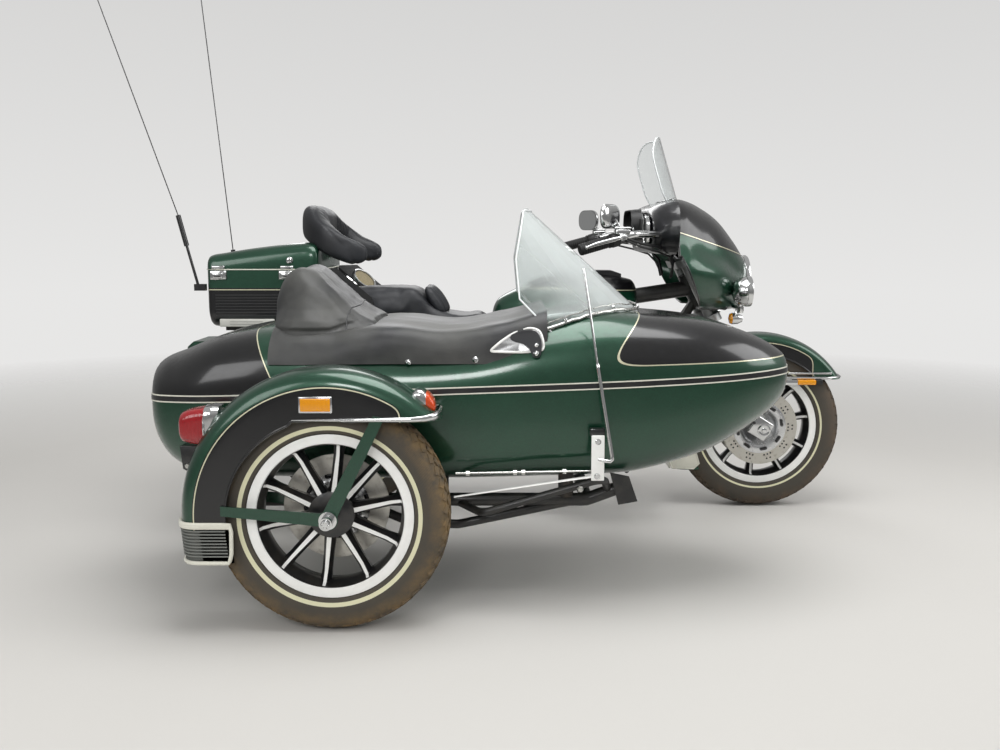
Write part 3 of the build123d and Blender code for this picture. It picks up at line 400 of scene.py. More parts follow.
# %% Vinyl upholstery
def vinyl(name, colour, dust, dust_amount, grain_mm=2.2):
    """Embossed vinyl: cells like leather grain, a dry sheen, and dust lying in broad patches."""
    material, tree, place = surface(name, colour, Roughness=0.48)
    cells = add_node(tree, "TexVoronoi", Scale=1000 / grain_mm, Vector=place, feature="F1",
        out="Distance")
    crease = add_node(tree, "TexNoise", Scale=28.0, Detail=5.0, Roughness=0.6, Vector=place)
    fine = add_node(tree, "Bump", Strength=0.35, Distance=0.0004, Height=cells)
    soft = add_node(tree, "Bump", Strength=0.25, Distance=0.002, Height=crease, Normal=fine)
    dress(tree, Normal=soft)
    broad = add_node(tree, "TexNoise", Scale=5.0, Detail=5.0, Vector=place)
    film = add_node(tree, "MapRange", broad, 0.36, 0.7, 0.0, dust_amount)
    tint = mixed(tree, film, colour, dust)
    dress(tree, Base_Color=tint)
    rough = calc(tree, "MULTIPLY_ADD", film, 0.3, 0.44)
    dress(tree, Roughness=rough)
    return material


cover_vinyl = vinyl("tonneau_vinyl", "#2A2B2D", "#5E5E59", 0.6)
seat_vinyl = vinyl("seat_vinyl", "#15161A", "#383B40", 0.4)
thread = vinyl("sewing_thread", "#3A3B3E", "#55554F", 0.3, 0.8)

# %% [markdown]
# ## Finishes on the solids that stay as CAD made them
# A solid whose shape is already right keeps it, and only its material slots change.

# %% Give each remaining solid its finish
FINISHED_SOLIDS = (
    (dusty_frame, "bike_frame sidecar_frame swingarm"), (black_enamel, "side_stand antennas"),
    (chrome, "primary_cover air_cleaner exhaust engine_guard headlamp spot_lamps handlebar"),
    (chrome, "hand_controls mirrors"), (cast_aluminium, "engine_cases fork"),
    (wrinkle_black, "cylinders"), (seat_vinyl, "rider_backrest backrest seat"),
    (moulded_black, "trunk_speakers tank_console fairing_inner"),
    (tired_chrome, "plate_bracket rear_lamps marker_rod"), (soft_rubber, "footboards body_mounts"),
    (clear_acrylic, "windscreen"), (acrylic, "sidecar_windscreen"), (grey_rubber, "mud_flap"),
    (amber_lens, "sidecar_lamps"), (cover_vinyl, "tonneau"),
    (brake_steel, "front_brake_discs rear_brake_disc sidecar_brake_disc"),
    (wheel_black, "front_rim rear_rim sidecar_rim"), (front_rubber, "front_tyre"),
    (rear_rubber, "rear_tyre"), (side_rubber, "sidecar_tyre"),
)
finishes = {name: finish for finish, names in FINISHED_SOLIDS for name in names.split()}
finishes.update(paints)
for name, solid_node in nodes.items():
    for slot in solid_node.material_slots:
        slot.material = finishes[name]
print(len(finishes), "solids finished")

# %% [markdown]
# ## Shaping helpers
# Every new piece starts as a bmesh in workshop metres. The helpers below turn a profile on an
# axis, make a bevelled block or a plate, skin a row of rings, cut along a plane, and hand a
# finished bmesh over as an object that rides on a body.

# %% Turn, block, skin, cut and hand over
def faces_made(bm, before, slot):
    """Gives the faces that are new since before the material slot they wear."""
    made = [face for face in bm.faces if face not in before]
    for face in made:
        face.material_index = slot
    return made


def verts_of(faces):
    return list({vert for face in faces for vert in face.verts})


def turned(bm, centre, axis, profile, steps=48, slot=0):
    """Spins a profile of (along the axis, radius) points round an axis through a centre."""
    before = set(bm.faces)
    along = Vector(axis).normalized()
    out = along.orthogonal().normalized()
    points = [bm.verts.new(Vector(centre) + along * a + out * r) for a, r in profile]
    edges = [bm.edges.new(pair) for pair in zip(points, points[1:])]
    bmesh.ops.spin(bm, geom=points + edges, cent=centre, axis=along, angle=2 * pi, steps=steps,
        use_merge=True)
    bmesh.ops.remove_doubles(bm, verts=verts_of(faces_made(bm, before, slot)), dist=1e-5)
    return [face for face in bm.faces if face not in before]


def bevelled(bm, faces, width, segments=2):
    edges = list({edge for face in faces for edge in face.edges})
    bmesh.ops.bevel(bm, geom=edges, offset=width, segments=segments, profile=0.5, affect="EDGES",
        material=-1)


def block(bm, corner, opposite, bevel=0.0015, slot=0, segments=2, turn=None, about=None):
    """A block between two opposite corners, its edges rounded, turned if need be about a point."""
    before = set(bm.faces)
    pairs = list(zip(corner, opposite))
    low, high = Vector([min(pair) for pair in pairs]), Vector([max(pair) for pair in pairs])
    place = Matrix.Translation((low + high) / 2) @ Matrix.Diagonal((*(high - low), 1.0))
    bmesh.ops.create_cube(bm, size=1.0, matrix=place)
    if bevel:
        bevelled(bm, faces_made(bm, before, slot), bevel, segments)
    made = faces_made(bm, before, slot)
    if turn:
        centre = Vector(about) if about else (low + high) / 2
        bmesh.ops.rotate(bm, verts=verts_of(made), cent=centre, matrix=turn)
    return made


def brick(bm, middle, half, *others, **named):
    """A block round a middle, given by half its size."""
    return block(bm, middle - Vector(half), middle + Vector(half), *others, **named)


def drawn_out(bm, corners, shift):
    """A solid between a face through corners and its copy at a shift."""
    face = bm.faces.new([bm.verts.new(p) for p in corners])
    grown = bmesh.ops.extrude_face_region(bm, geom=[face])["geom"]
    moved = [item for item in grown if isinstance(item, bmesh.types.BMVert)]
    bmesh.ops.translate(bm, verts=moved, vec=shift)


def plate(bm, outline, y_near, y_far, bevel):
    """A flat plate: an outline of (x, z) points, thick from one y to another."""
    before = set(bm.faces)
    y_low, y_high = sorted((y_near, y_far))
    drawn_out(bm, [(x, y_low, z) for x, z in outline], (0, y_high - y_low, 0))
    made = faces_made(bm, before, 0)
    bmesh.ops.recalc_face_normals(bm, faces=made)
    bevelled(bm, made, bevel)


def bridged(bm, rings, slot=0, closed=True, caps=False):
    """Skins a row of rings, or of open runs, that have equally many points."""
    made = []
    for ring, following in zip(rings, rings[1:]):
        for j in range(len(ring) if closed else len(ring) - 1):
            k = (j + 1) % len(ring)
            made.append(bm.faces.new((ring[j], ring[k], following[k], following[j])))
    if caps:
        made += [bm.faces.new(rings[0]), bm.faces.new(rings[-1])]
    for face in made:
        face.material_index = slot
    return made


def cut(bm, place, normal, **cleared):
    """Cuts all faces along a plane, and clears one side of it if asked."""
    bmesh.ops.bisect_plane(bm, geom=bm.verts[:] + bm.edges[:] + bm.faces[:], dist=1e-6,
        plane_co=place, plane_no=normal, **cleared)


def thickened(bm, face, outward, wall):
    """Turns a sheet right side out, by one face and its outward direction, and gives it a wall."""
    bmesh.ops.recalc_face_normals(bm, faces=bm.faces)
    bm.normal_update()
    if face.normal.dot(outward) < 0:
        bmesh.ops.reverse_faces(bm, faces=bm.faces)
    bmesh.ops.solidify(bm, geom=bm.faces[:], thickness=wall)


def hand_over(name, bm, body, finishes, sharp=35.0, stand_for=()):
    """Places a bmesh in the row frame as an object that wears its finishes and rides a body."""
    bmesh.ops.recalc_face_normals(bm, faces=bm.faces)
    bmesh.ops.translate(bm, verts=bm.verts, vec=ROW_OFFSET)
    mesh = bpy.data.meshes.new(name)
    bm.to_mesh(mesh)
    bm.free()
    for finish in finishes:
        mesh.materials.append(finish)
    mesh.shade_smooth()
    mesh.set_sharp_from_angle(angle=radians(sharp))
    piece = bpy.data.objects.new(name, mesh)
    bpy.context.scene.collection.objects.link(piece)
    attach(piece, body)
    if stand_for:
        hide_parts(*stand_for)
    print(name, len(mesh.polygons), "faces on", body)
    return piece


# %% [markdown]
# ## Wheels
# A tyre is a bulging carcass with blocks of tread glued round it, as the mould leaves them. The
# carcass is a turned profile. The blocks are skewed bricks, copied round the axle in rows.

# %% Tyres
CARCASS = ((0.05, 0.2225), (0.058, 0.226), (0.0625, 0.237), (0.065, 0.254), (0.0645, 0.27),
    (0.061, 0.287), (0.052, 0.301), (0.042, 0.3082), (0.022, 0.3125), (0.0, 0.3135))
# A block row: distance from the centre plane, width, radius of its top, skew and its start
TREAD_ROWS = ((0.0, 0.018, 0.3178, 22.0, 0.0), (0.0235, 0.017, 0.316, -24.0, 0.5),
    (0.043, 0.018, 0.3095, 30.0, 0.0))
TREAD_PITCHES = 54


def make_tyre(name, axle, rubber):
    bm = bmesh.new()
    outline = list(CARCASS) + [(-a, r) for a, r in reversed(CARCASS[:-1])]
    turned(bm, axle, (0, 1, 0), outline + [outline[0]], steps=96)
    for centre_y, width, top, skew, start in TREAD_ROWS:
        for hand in ((1,) if centre_y == 0 else (-1, 1)):
            lean = atan2(0.004 if centre_y < 0.03 else 0.0085, 0.02) * (centre_y > 0) * hand
            for index in range(TREAD_PITCHES):
                around = 2 * pi * (index + start) / TREAD_PITCHES
                verts = verts_of(block(bm, (-0.0125, -width / 2, -0.007), (0.0125, width / 2, 0.0),
                    bevel=0.0, turn=Matrix.Rotation(radians(skew * hand), 3, "Z"), about=(0, 0, 0)))
                bmesh.ops.rotate(bm, verts=verts, matrix=Matrix.Rotation(-lean, 3, "X"))
                bmesh.ops.translate(bm, verts=verts, vec=(0, centre_y * hand, top))
                bmesh.ops.rotate(bm, verts=verts, matrix=Matrix.Rotation(around, 3, "Y"))
                bmesh.ops.translate(bm, verts=verts, vec=axle)
    hand_over(name + "_tyre_treaded", bm, name + "_wheel", [rubber], stand_for=[name + "_tyre"])


WHEELS = (("sidecar", SIDE_AXLE, side_rubber), ("front", FRONT_AXLE, front_rubber),
    ("rear", REAR_AXLE, rear_rubber))
for name, axle, rubber in WHEELS:
    make_tyre(name, axle, rubber)

# %% [markdown]
# The wheels are cast aluminium, black with a machined flange and machined ridges on ten spokes.
# A ridge runs out level and then climbs the rim's wall to the flange. One spoke is lofted from
# short sections, and the rest are turned copies.

# %% Cast wheels
RIM_PROFILE = ((-0.0545, 0.2225), (-0.055, 0.2205), (-0.055, 0.1985), (-0.0525, 0.1962),
    (-0.048, 0.1945), (-0.03, 0.1925), (-0.016, 0.186), (0.0, 0.184))
# A spoke section: radius, half width at the root, half width on top, root and top depth
SPOKE_ROWS = ((0.052, 0.017, 0.0065, 0.012, 0.034), (0.11, 0.014, 0.0055, 0.008, 0.027),
    (0.16, 0.0135, 0.0045, 0.006, 0.022), (0.188, 0.015, 0.0042, 0.01, 0.032),
    (0.198, 0.016, 0.004, 0.03, 0.0545))
SPOKES, SPOKE_START = 10, 24.7


def make_wheel(name, axle):
    bm = bmesh.new()
    outer = list(RIM_PROFILE) + [(-a, r) for a, r in reversed(RIM_PROFILE[:-1])]
    for face in turned(bm, axle, (0, 1, 0), outer + [outer[0]], steps=96):
        middle = face.calc_center_median() - axle
        if abs(middle.y) > 0.0515 and (middle.x ** 2 + middle.z ** 2) ** 0.5 > 0.196:
            face.material_index = 1
    for index in range(SPOKES):
        angle = radians(SPOKE_START + 360 * index / SPOKES)
        for hand in (-1, 1):
            rings = []
            for radius, root, top, low, high in SPOKE_ROWS:
                corners = ((-root, 0.0), (-root, low), (-top, high - 0.004), (-top, high),
                    (top, high), (top, high - 0.004), (root, low), (root, 0.0))
                rings.append([bm.verts.new((radius, hand * depth, wide))
                    for wide, depth in corners])
            made = bridged(bm, rings, closed=False)
            for face in made[3::7]:
                face.material_index = 1
            verts = verts_of(made)
            bmesh.ops.rotate(bm, verts=verts, matrix=Matrix.Rotation(angle, 3, "Y"))
            bmesh.ops.translate(bm, verts=verts, vec=axle)
    hub = ((-0.044, 0.0), (-0.044, 0.03), (-0.04, 0.05), (-0.036, 0.062), (-0.018, 0.062),
        (-0.012, 0.052))
    turned(bm, axle, (0, 1, 0), hub + tuple((-a, r) for a, r in reversed(hub)))
    hand_over(name + "_wheel_cast", bm, name + "_wheel", [wheel_black, machined], sharp=28,
        stand_for=[name + "_rim"])


for name, axle, _ in WHEELS:
    make_wheel(name, axle)

# %% [markdown]
# ## Lofted shells
# The hull, the tank, the fairing and the soft parts are all drawn as a boatbuilder would: a row
# of sections along the length, each a rounded outline. Between the rows a smooth curve gives
# every size, so a few rows make a fair surface with as many stations as the light asks for.

# %% Sections and lofts
def row_between(rows, x):
    """The section sizes at x, on a smooth curve through the rows either side."""
    rows = list(rows)
    k = max(0, min(len(rows) - 2, sum(row[0] <= x for row in rows) - 1))
    before, low, high, after = (rows[max(k - 1, 0)], rows[k], rows[k + 1],
        rows[min(k + 2, len(rows) - 1)])
    span = high[0] - low[0]
    t = min(max((x - low[0]) / span, 0.0), 1.0)
    sizes = [x]
    for i in range(1, len(low)):
        start = (high[i] - before[i]) / max(high[0] - before[0], 1e-6) * span
        end = (after[i] - low[i]) / max(after[0] - low[0], 1e-6) * span
        sizes.append((2 * t**3 - 3 * t**2 + 1) * low[i] + (t**3 - 2 * t**2 + t) * start
            + (3 * t**2 - 2 * t**3) * high[i] + (t**3 - t**2) * end)
    return sizes


def even_outline(points, count, soften):
    """A closed outline resampled to evenly spaced points and softened, starting where it did."""
    points = [Vector(p) for p in points]
    ring = points + [points[0]]
    lengths = [0.0]
    for a, b in zip(ring, ring[1:]):
        lengths.append(lengths[-1] + (b - a).length)
    out, k = [], 0
    for i in range(count):
        at = lengths[-1] * i / count
        while lengths[k + 1] < at:
            k += 1
        share = (at - lengths[k]) / max(lengths[k + 1] - lengths[k], 1e-9)
        out.append(ring[k].lerp(ring[k + 1], share))
    for _ in range(soften):
        out = [(out[i - 1] + out[i] * 2 + out[(i + 1) % count]) / 4 for i in range(count)]
    return out


def round_section(half, low, high, corner, top_half=None):
    """A rounded outline as (y, z) points from the bottom's middle. top_half leans the sides in."""
    top_half = half if top_half is None else top_half
    corner = min(corner, (high - low) / 2 - 1e-4, half - 1e-4, top_half - 1e-4)
    points = [(0.0, low)]
    for wide, level, turn in ((half, low + corner, -90), (top_half, high - corner, 0),
            (-top_half, high - corner, 90), (-half, low + corner, 180)):
        hand = 1 if wide > 0 else -1
        for step in range(9):
            angle = radians(turn + 90 * step / 8)
            points.append((wide - hand * corner + corner * cos(angle), level + corner * sin(angle)))
    return points


def hull(bm, rows, centre_y, steps, around=64, soften=3, rounding=0.0, slot=0):
    """A hull through rows in millimetres, with its ends rounded off over a length."""
    first, last = rows[0][0], rows[-1][0]
    rings = []
    for i in range(steps + 1):
        spread = 0.5 - 0.5 * cos(pi * i / steps)
        x = first + (last - first) * (0.35 * spread + 0.65 * i / steps)
        half, low, high, corner, *lean = (v / 1000 for v in row_between(rows, x)[1:])
        outline = even_outline(round_section(half, low, high, corner, *lean), around, soften)
        reach = min(x - first, last - x) / 1000
        if rounding and reach < rounding:
            shrink = max(0.12, (1 - (1 - reach / rounding) ** 2) ** 0.5)
            middle = Vector((0.0, (low + high) / 2))
            outline = [middle + (p - middle) * shrink for p in outline]
        rings.append([bm.verts.new((x / 1000, p.x + centre_y, p.y)) for p in outline])
    bridged(bm, rings, slot, caps=True)


# %% [markdown]
# ## Sidecar body
# The body is a shell like a small boat's, nine millimetres thick, laid up in two halves whose
# joint the belt moulding hides. The loft's rows are the CAD's own, so the painted surface lies
# on the solid, with its corners eased as a filled and sanded shell has them.

# %% The painted shell with its cockpit opening
BODY_ROWS = ((-435, 110, 562, 628, 30), (-405, 215, 455, 690, 95), (-330, 270, 385, 727, 125),
    (-200, 302, 362, 775, 135), (0, 310, 357, 800, 135), (250, 310, 355, 762, 130),
    (500, 310, 355, 772, 130), (700, 309, 356, 825, 150), (860, 306, 360, 840, 150),
    (1000, 297, 372, 833, 150), (1200, 262, 428, 811, 140), (1340, 205, 505, 766, 110),
    (1425, 135, 572, 718, 65), (1457, 70, 632, 682, 22))
COCKPIT_LOW, COCKPIT_REAR, COCKPIT_FRONT, COCKPIT_HALF = 0.69, 0.04, 0.66, 0.21


def in_cockpit(p):
    return (p.z > COCKPIT_LOW and COCKPIT_REAR < p.x < COCKPIT_FRONT
        and abs(p.y - SIDECAR_Y) < COCKPIT_HALF)


bm = bmesh.new()
hull(bm, BODY_ROWS, SIDECAR_Y, 150, around=96, soften=5, rounding=0.022)
bmesh.ops.recalc_face_normals(bm, faces=bm.faces)
body_tree = BVHTree.FromBMesh(bm)
body_form = bm.copy()
opening = [f for f in bm.faces if in_cockpit(f.calc_center_median())]
bmesh.ops.delete(bm, geom=opening, context="FACES")
bmesh.ops.solidify(bm, geom=bm.faces[:], thickness=0.009)
hand_over("sidecar_body_shell", bm, "chassis", [paints["sidecar_body"]], sharp=50,
    stand_for=["sidecar_body"])

# %% [markdown]
# A belt moulding runs round the body where the two halves meet: a black band with a pale line
# at each edge. It is cut from the body's own surface by parallel planes and stands off it by
# its thickness, so it follows the nose and the tail as a glued strip does.

# %% Belt moulding
BELT_MIDDLE, BELT_SLOPE = Vector((0, 0, 0.6135)), 0.036
BELT_EDGES = (-0.0105, -0.007, 0.007, 0.0105)
up = Vector((-BELT_SLOPE, 0.0, 1.0)).normalized()
belt = body_form.copy()
for rise in BELT_EDGES:
    cut(belt, BELT_MIDDLE + up * rise, up, clear_outer=rise == BELT_EDGES[-1],
        clear_inner=rise == BELT_EDGES[0])
for face in belt.faces:
    rise = (face.calc_center_median() - BELT_MIDDLE).dot(up)
    face.material_index = int(abs(rise) > BELT_EDGES[2])
bmesh.ops.solidify(belt, geom=belt.faces[:], thickness=-0.0022)
hand_over("belt_moulding", belt, "chassis", [black_enamel, cream_trim], sharp=30)

# %% [markdown]
# ## Tonneau cover and headrest
# Faded black vinyl is stretched over the cockpit and held by snap studs, and a stuffed headrest
# is sewn into its rear end. The sheet sags a little between its studs, and the headrest leans
# its sides inwards and slopes forward to a soft crease.

# %% The stretched cover
COVER_ROWS = ((-52, 313, 540, 800, 128), (-20, 314, 540, 803, 128), (30, 313, 540, 804, 122),
    (80, 309, 540, 797, 100), (130, 304, 540, 790, 76), (190, 299, 540, 800, 62),
    (300, 291, 540, 806, 50), (450, 291, 540, 792, 45), (600, 291, 540, 817, 50),
    (722, 277, 540, 849, 60))
COVER_EDGE = 0.703


def fabric_waves(bm, amount, along, across_run, seed, keep=lambda place: 1.0):
    """Moves a fabric's points along their normals by a slow, uneven wave."""
    bm.normal_update()
    for vert in bm.verts:
        place = Vector((vert.co.x * along, vert.co.y * across_run, vert.co.z * across_run + seed))
        push = noise.fractal(place, 0.9, 2.1, 3, noise_basis="PERLIN_ORIGINAL") * amount
        vert.co += vert.normal * push * keep(vert.co)


bm = bmesh.new()
hull(bm, COVER_ROWS, SIDECAR_Y, 110, around=120, soften=2)
bmesh.ops.delete(bm, geom=[f for f in bm.faces if len(f.verts) > 4], context="FACES")
cut(bm, (0.0, 0.0, COVER_EDGE), (0.0, 0.0, 1.0), clear_inner=True)
fabric_waves(bm, 0.0045, 7.0, 13.0, 3.0, lambda p: min(1.0, max(0.2, (0.86 - p.z) * 10)))
bmesh.ops.recalc_face_normals(bm, faces=bm.faces)
cover_tree = BVHTree.FromBMesh(bm)
cover_area = sum(face.calc_area() for face in bm.faces)
bmesh.ops.solidify(bm, geom=bm.faces[:], thickness=0.0025)
cover = hand_over("tonneau_cover", bm, "chassis", [cover_vinyl], sharp=60, stand_for=["tonneau"])
print("cover area", round(cover_area, 3), "square metres")

# %% [markdown]
# Stuffed parts are blown up a little: the closed form is remeshed to even cells, a cloth
# simulation with a slight inner pressure rounds it between its edges, and no point may move
# more than a cap. Then the result is applied and smoothed once.

# %% Stuffing by a short simulation
def stuffed(name, bm, body, finish, cap=0.01, voxel=0.006, pressure=4.0, steps=20, shape=None,
        stand_for=()):
    bmesh.ops.recalc_face_normals(bm, faces=bm.faces)
    bmesh.ops.translate(bm, verts=bm.verts, vec=ROW_OFFSET)
    mesh = bpy.data.meshes.new(name)
    bm.to_mesh(mesh)
    bm.free()
    piece = bpy.data.objects.new(name, mesh)
    bpy.context.scene.collection.objects.link(piece)
    remesh = piece.modifiers.new("remesh", "REMESH")
    remesh.mode = "VOXEL"
    remesh.voxel_size = voxel
    apply_all(piece)
    at_rest = [vert.co.copy() for vert in piece.data.vertices]
    cloth = piece.modifiers.new("cloth", "CLOTH")
    cloth.settings.quality = 4
    cloth.settings.mass = 0.3
    cloth.settings.use_pressure = True
    cloth.settings.uniform_pressure_force = pressure
    cloth.settings.effector_weights.gravity = 0
    cloth.settings.tension_stiffness = 25
    cloth.settings.compression_stiffness = 25
    cloth.settings.bending_stiffness = 2
    cloth.point_cache.frame_start, cloth.point_cache.frame_end = 1, steps
    for frame_number in range(1, steps + 1):
        bpy.context.scene.frame_set(frame_number)
    apply_all(piece)
    bpy.context.scene.frame_set(1)
    for vert, rest in zip(piece.data.vertices, at_rest):
        moved = vert.co - rest
        if moved.length > cap:
            vert.co = rest + moved.normalized() * cap
    bm = bmesh.new()
    bm.from_mesh(piece.data)
    for _ in range(3):
        bmesh.ops.smooth_vert(bm, verts=bm.verts, factor=0.5, use_axis_x=True, use_axis_y=True,
            use_axis_z=True)
    bmesh.ops.translate(bm, verts=bm.verts, vec=-ROW_OFFSET)
    bm.normal_update()
    if shape:
        shape(bm)
    bmesh.ops.translate(bm, verts=bm.verts, vec=ROW_OFFSET)
    bm.to_mesh(piece.data)
    bm.free()
    piece.data.materials.clear()
    piece.data.materials.append(finish)
    piece.data.shade_smooth()
    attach(piece, body)
    if stand_for:
        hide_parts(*stand_for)
    print(name, len(piece.data.polygons), "faces on", body)
    return piece


def apply_all(piece):
    """Turns a piece's live modifiers into its mesh."""
    graph = bpy.context.evaluated_depsgraph_get()
    graph.update()
    done = bpy.data.meshes.new_from_object(piece.evaluated_get(graph), depsgraph=graph)
    piece.modifiers.clear()
    piece.data = done


# %% Headrest of the cover
# The last column is the half width under the top, so the sides lean in
HEADREST_ROWS = ((-58, 168, 716, 830, 45, 120), (-46, 238, 706, 892, 60, 158),
    (-26, 272, 700, 940, 62, 176), (0, 284, 698, 964, 60, 187), (24, 287, 698, 967, 58, 193),
    (58, 288, 700, 940, 52, 202), (106, 286, 706, 893, 46, 214), (156, 278, 716, 847, 38, 224),
    (206, 264, 738, 814, 26, 230), (244, 240, 766, 799, 11, 226))


def headrest_folds(bm):
    """A slack pouch low on each side, and the creases that years of sun leave."""
    for vert in bm.verts:
        x, z = vert.co.x, vert.co.z
        line = 0.8 + max(0.0, x - 0.11) * 0.3
        low = max(0.0, min(1.0, (line - z) / 0.012))
        fading = max(0.0, min(1.0, (0.205 - x) / 0.06))
        bulge = max(0.0, 1.0 - abs(z - line - 0.018) / 0.03)
        outward = -1 if vert.co.y < SIDECAR_Y else 1
        vert.co.y += outward * (0.008 * bulge - 0.01 * low * (2 - low)) * fading
    fabric_waves(bm, 0.004, 9.0, 9.0, 7.0)


bm = bmesh.new()
hull(bm, HEADREST_ROWS, SIDECAR_Y, 60, around=72, soften=1, rounding=0.01)
headrest = stuffed("headrest", bm, "chassis", cover_vinyl, cap=0.008, shape=headrest_folds)

# %% [markdown]
# ## Saddle and backrests
# The seat is one moulded foam, high for the passenger and low for the rider, under vinyl that is
# drawn tight over its edges. Both backrests are pads on steel brackets.

# %% Two-level seat
SEAT_ROWS = ((-50, 128, 700, 838, 40), (-20, 146, 692, 850, 46), (100, 150, 690, 857, 48),
    (220, 150, 688, 857, 46), (276, 148, 688, 850, 44), (300, 144, 688, 826, 40),
    (322, 142, 690, 796, 36), (350, 147, 692, 776, 32), (400, 150, 694, 758, 28),
    (460, 148, 700, 752, 24), (520, 138, 712, 761, 22), (546, 118, 722, 760, 17))
bm = bmesh.new()
hull(bm, SEAT_ROWS, 0.0, 80, around=64, soften=1, rounding=0.012)
stuffed("two_level_seat", bm, "chassis", seat_vinyl, cap=0.007, stand_for=["seat"],
    shape=lambda soft: fabric_waves(soft, 0.003, 12.0, 10.0, 1.0))


# %% Rider's backrest
def sewn_ribs(bm, near, far, pitch, depth=0.0035):
    """Upright sewn channels on a pad's front, and the seam where its front meets its sides."""
    for vert in bm.verts:
        out = vert.normal
        place = abs(vert.co.y)
        if out.x > 0.35 and near < place < far:
            vert.co += out * depth * (cos(2 * pi * vert.co.y / pitch) - 1) / 2 \
                * min(1.0, (out.x - 0.35) * 3)
        vert.co -= out * 0.0035 * 2.718 ** (-((out.x - 0.1) / 0.1) ** 2)


def swept_pad(bm, path, sizes, around=40, power=3.0):
    """A pad along a path: at each point (x, y, z) it has (thickness, height, lean in degrees)."""
    points = [Vector(p) for p in path]
    rings = []
    steps = (len(points) - 1) * 8
    for i in range(steps + 1):
        t = i / 8
        k = min(int(t), len(points) - 2)
        f = t - k
        a, b = points[max(k - 1, 0)], points[k]
        c, d = points[k + 1], points[min(k + 2, len(points) - 1)]
        place = 0.5 * (2 * b + (c - a) * f + (2 * a - 5 * b + 4 * c - d) * f**2
            + (3 * b - a - 3 * c + d) * f**3)
        run = 0.5 * ((c - a) + 2 * (2 * a - 5 * b + 4 * c - d) * f + 3 * (3 * b - a - 3 * c + d)
            * f**2)
        thick, tall, lean = (u + (v - u) * (3 * f**2 - 2 * f**3)
            for u, v in zip(sizes[k], sizes[k + 1]))
        run.z = 0.0
        across_pad = Vector((run.y, -run.x, 0.0)).normalized()
        upward = Matrix.Rotation(radians(lean), 3, run.normalized()) @ Vector((0, 0, 1))
        ends = min(1.0, (max(0.04, 1 - abs(2 * i / steps - 1) ** 10)) ** 0.5)
        ring = []
        for j in range(around):
            angle = 2 * pi * j / around
            u, v = cos(angle), sin(angle)
            u = abs(u) ** (2 / power) * (1 if u > 0 else -1)
            v = abs(v) ** (2 / power) * (1 if v > 0 else -1)
            ring.append(bm.verts.new(place + across_pad * (thick / 2 * u * ends) + upward
                * (tall / 2 * v * ends)))
        rings.append(ring)
    bridged(bm, rings, caps=True)


bm = bmesh.new()
swept_pad(bm, ((0.34, -0.12, 0.812), (0.345, -0.085, 0.814), (0.349, 0.0, 0.816),
    (0.345, 0.085, 0.814), (0.34, 0.12, 0.812)), ((0.044, 0.108, -30), (0.054, 0.122, -30),
    (0.058, 0.126, -30), (0.054, 0.122, -30), (0.044, 0.108, -30)), power=2.3)
stuffed("rider_backrest_pad", bm, "chassis", seat_vinyl, cap=0.008, stand_for=["rider_backrest"],
    shape=lambda soft: sewn_ribs(soft, 0.03, 0.12, 0.024))

# %% Passenger's backrest, wrapped round the trunk's front
bm = bmesh.new()
swept_pad(bm, ((0.108, -0.222, 0.99), (0.04, -0.236, 1.003), (-0.045, -0.222, 1.052),
    (-0.1, -0.13, 1.1), (-0.108, 0.0, 1.104), (-0.1, 0.13, 1.1), (-0.045, 0.222, 1.052),
    (0.04, 0.236, 1.003), (0.108, 0.222, 0.99)), ((0.048, 0.08, 0), (0.056, 0.098, 0),
    (0.07, 0.118, 0), (0.084, 0.134, 0), (0.088, 0.138, 0), (0.084, 0.134, 0), (0.07, 0.118, 0),
    (0.056, 0.098, 0), (0.048, 0.08, 0)), around=48)
stuffed("passenger_backrest_pad", bm, "trunk_lid", seat_vinyl, cap=0.01, stand_for=["backrest"],
    shape=lambda soft: sewn_ribs(soft, 0.1, 0.215, 0.024))

# %% [markdown]
# ## Fenders
# Each fender is sheet steel, rolled to a crown and turned round its wheel. A full ring is spun
# from one section, cut along straight lines, and what lies outside them is dropped. A bead of
# wire is rolled into the free edge, which stiffens the sheet.

# %% Rolled fenders with a wired edge
def crown_section(half, skirt, shoulder, crown, power=2.8, steps=14):
    """A fender's section as (across, radius) points: straight skirts and a rounded crown."""
    points = [(half, skirt + (shoulder - skirt) * i / 4) for i in range(4)]
    for i in range(steps + 1):
        t = pi / 2 * i / steps
        points.append((half * cos(t) ** (2 / power), shoulder + (crown - shoulder)
            * sin(t) ** (2 / power)))
    return [(-a, r) for a, r in points] + [(a, r) for a, r in reversed(points[:-1])]


def edge_runs(bm):
    """The open edges of a sheet, as closed or open runs of points."""
    bm.edges.index_update()
    edges = {edge for edge in bm.edges if len(edge.link_faces) == 1}
    runs = []
    while edges:
        edge = min(edges, key=lambda e: e.index)
        run = [edge.verts[0], edge.verts[1]]
        onward = [edge]
        while onward:
            edges.discard(onward[0])
            onward = [e for e in run[-1].link_edges if e in edges]
            if onward:
                run.append(onward[0].other_vert(run[-1]))
        runs.append([vert.co.copy() for vert in run])
    return runs


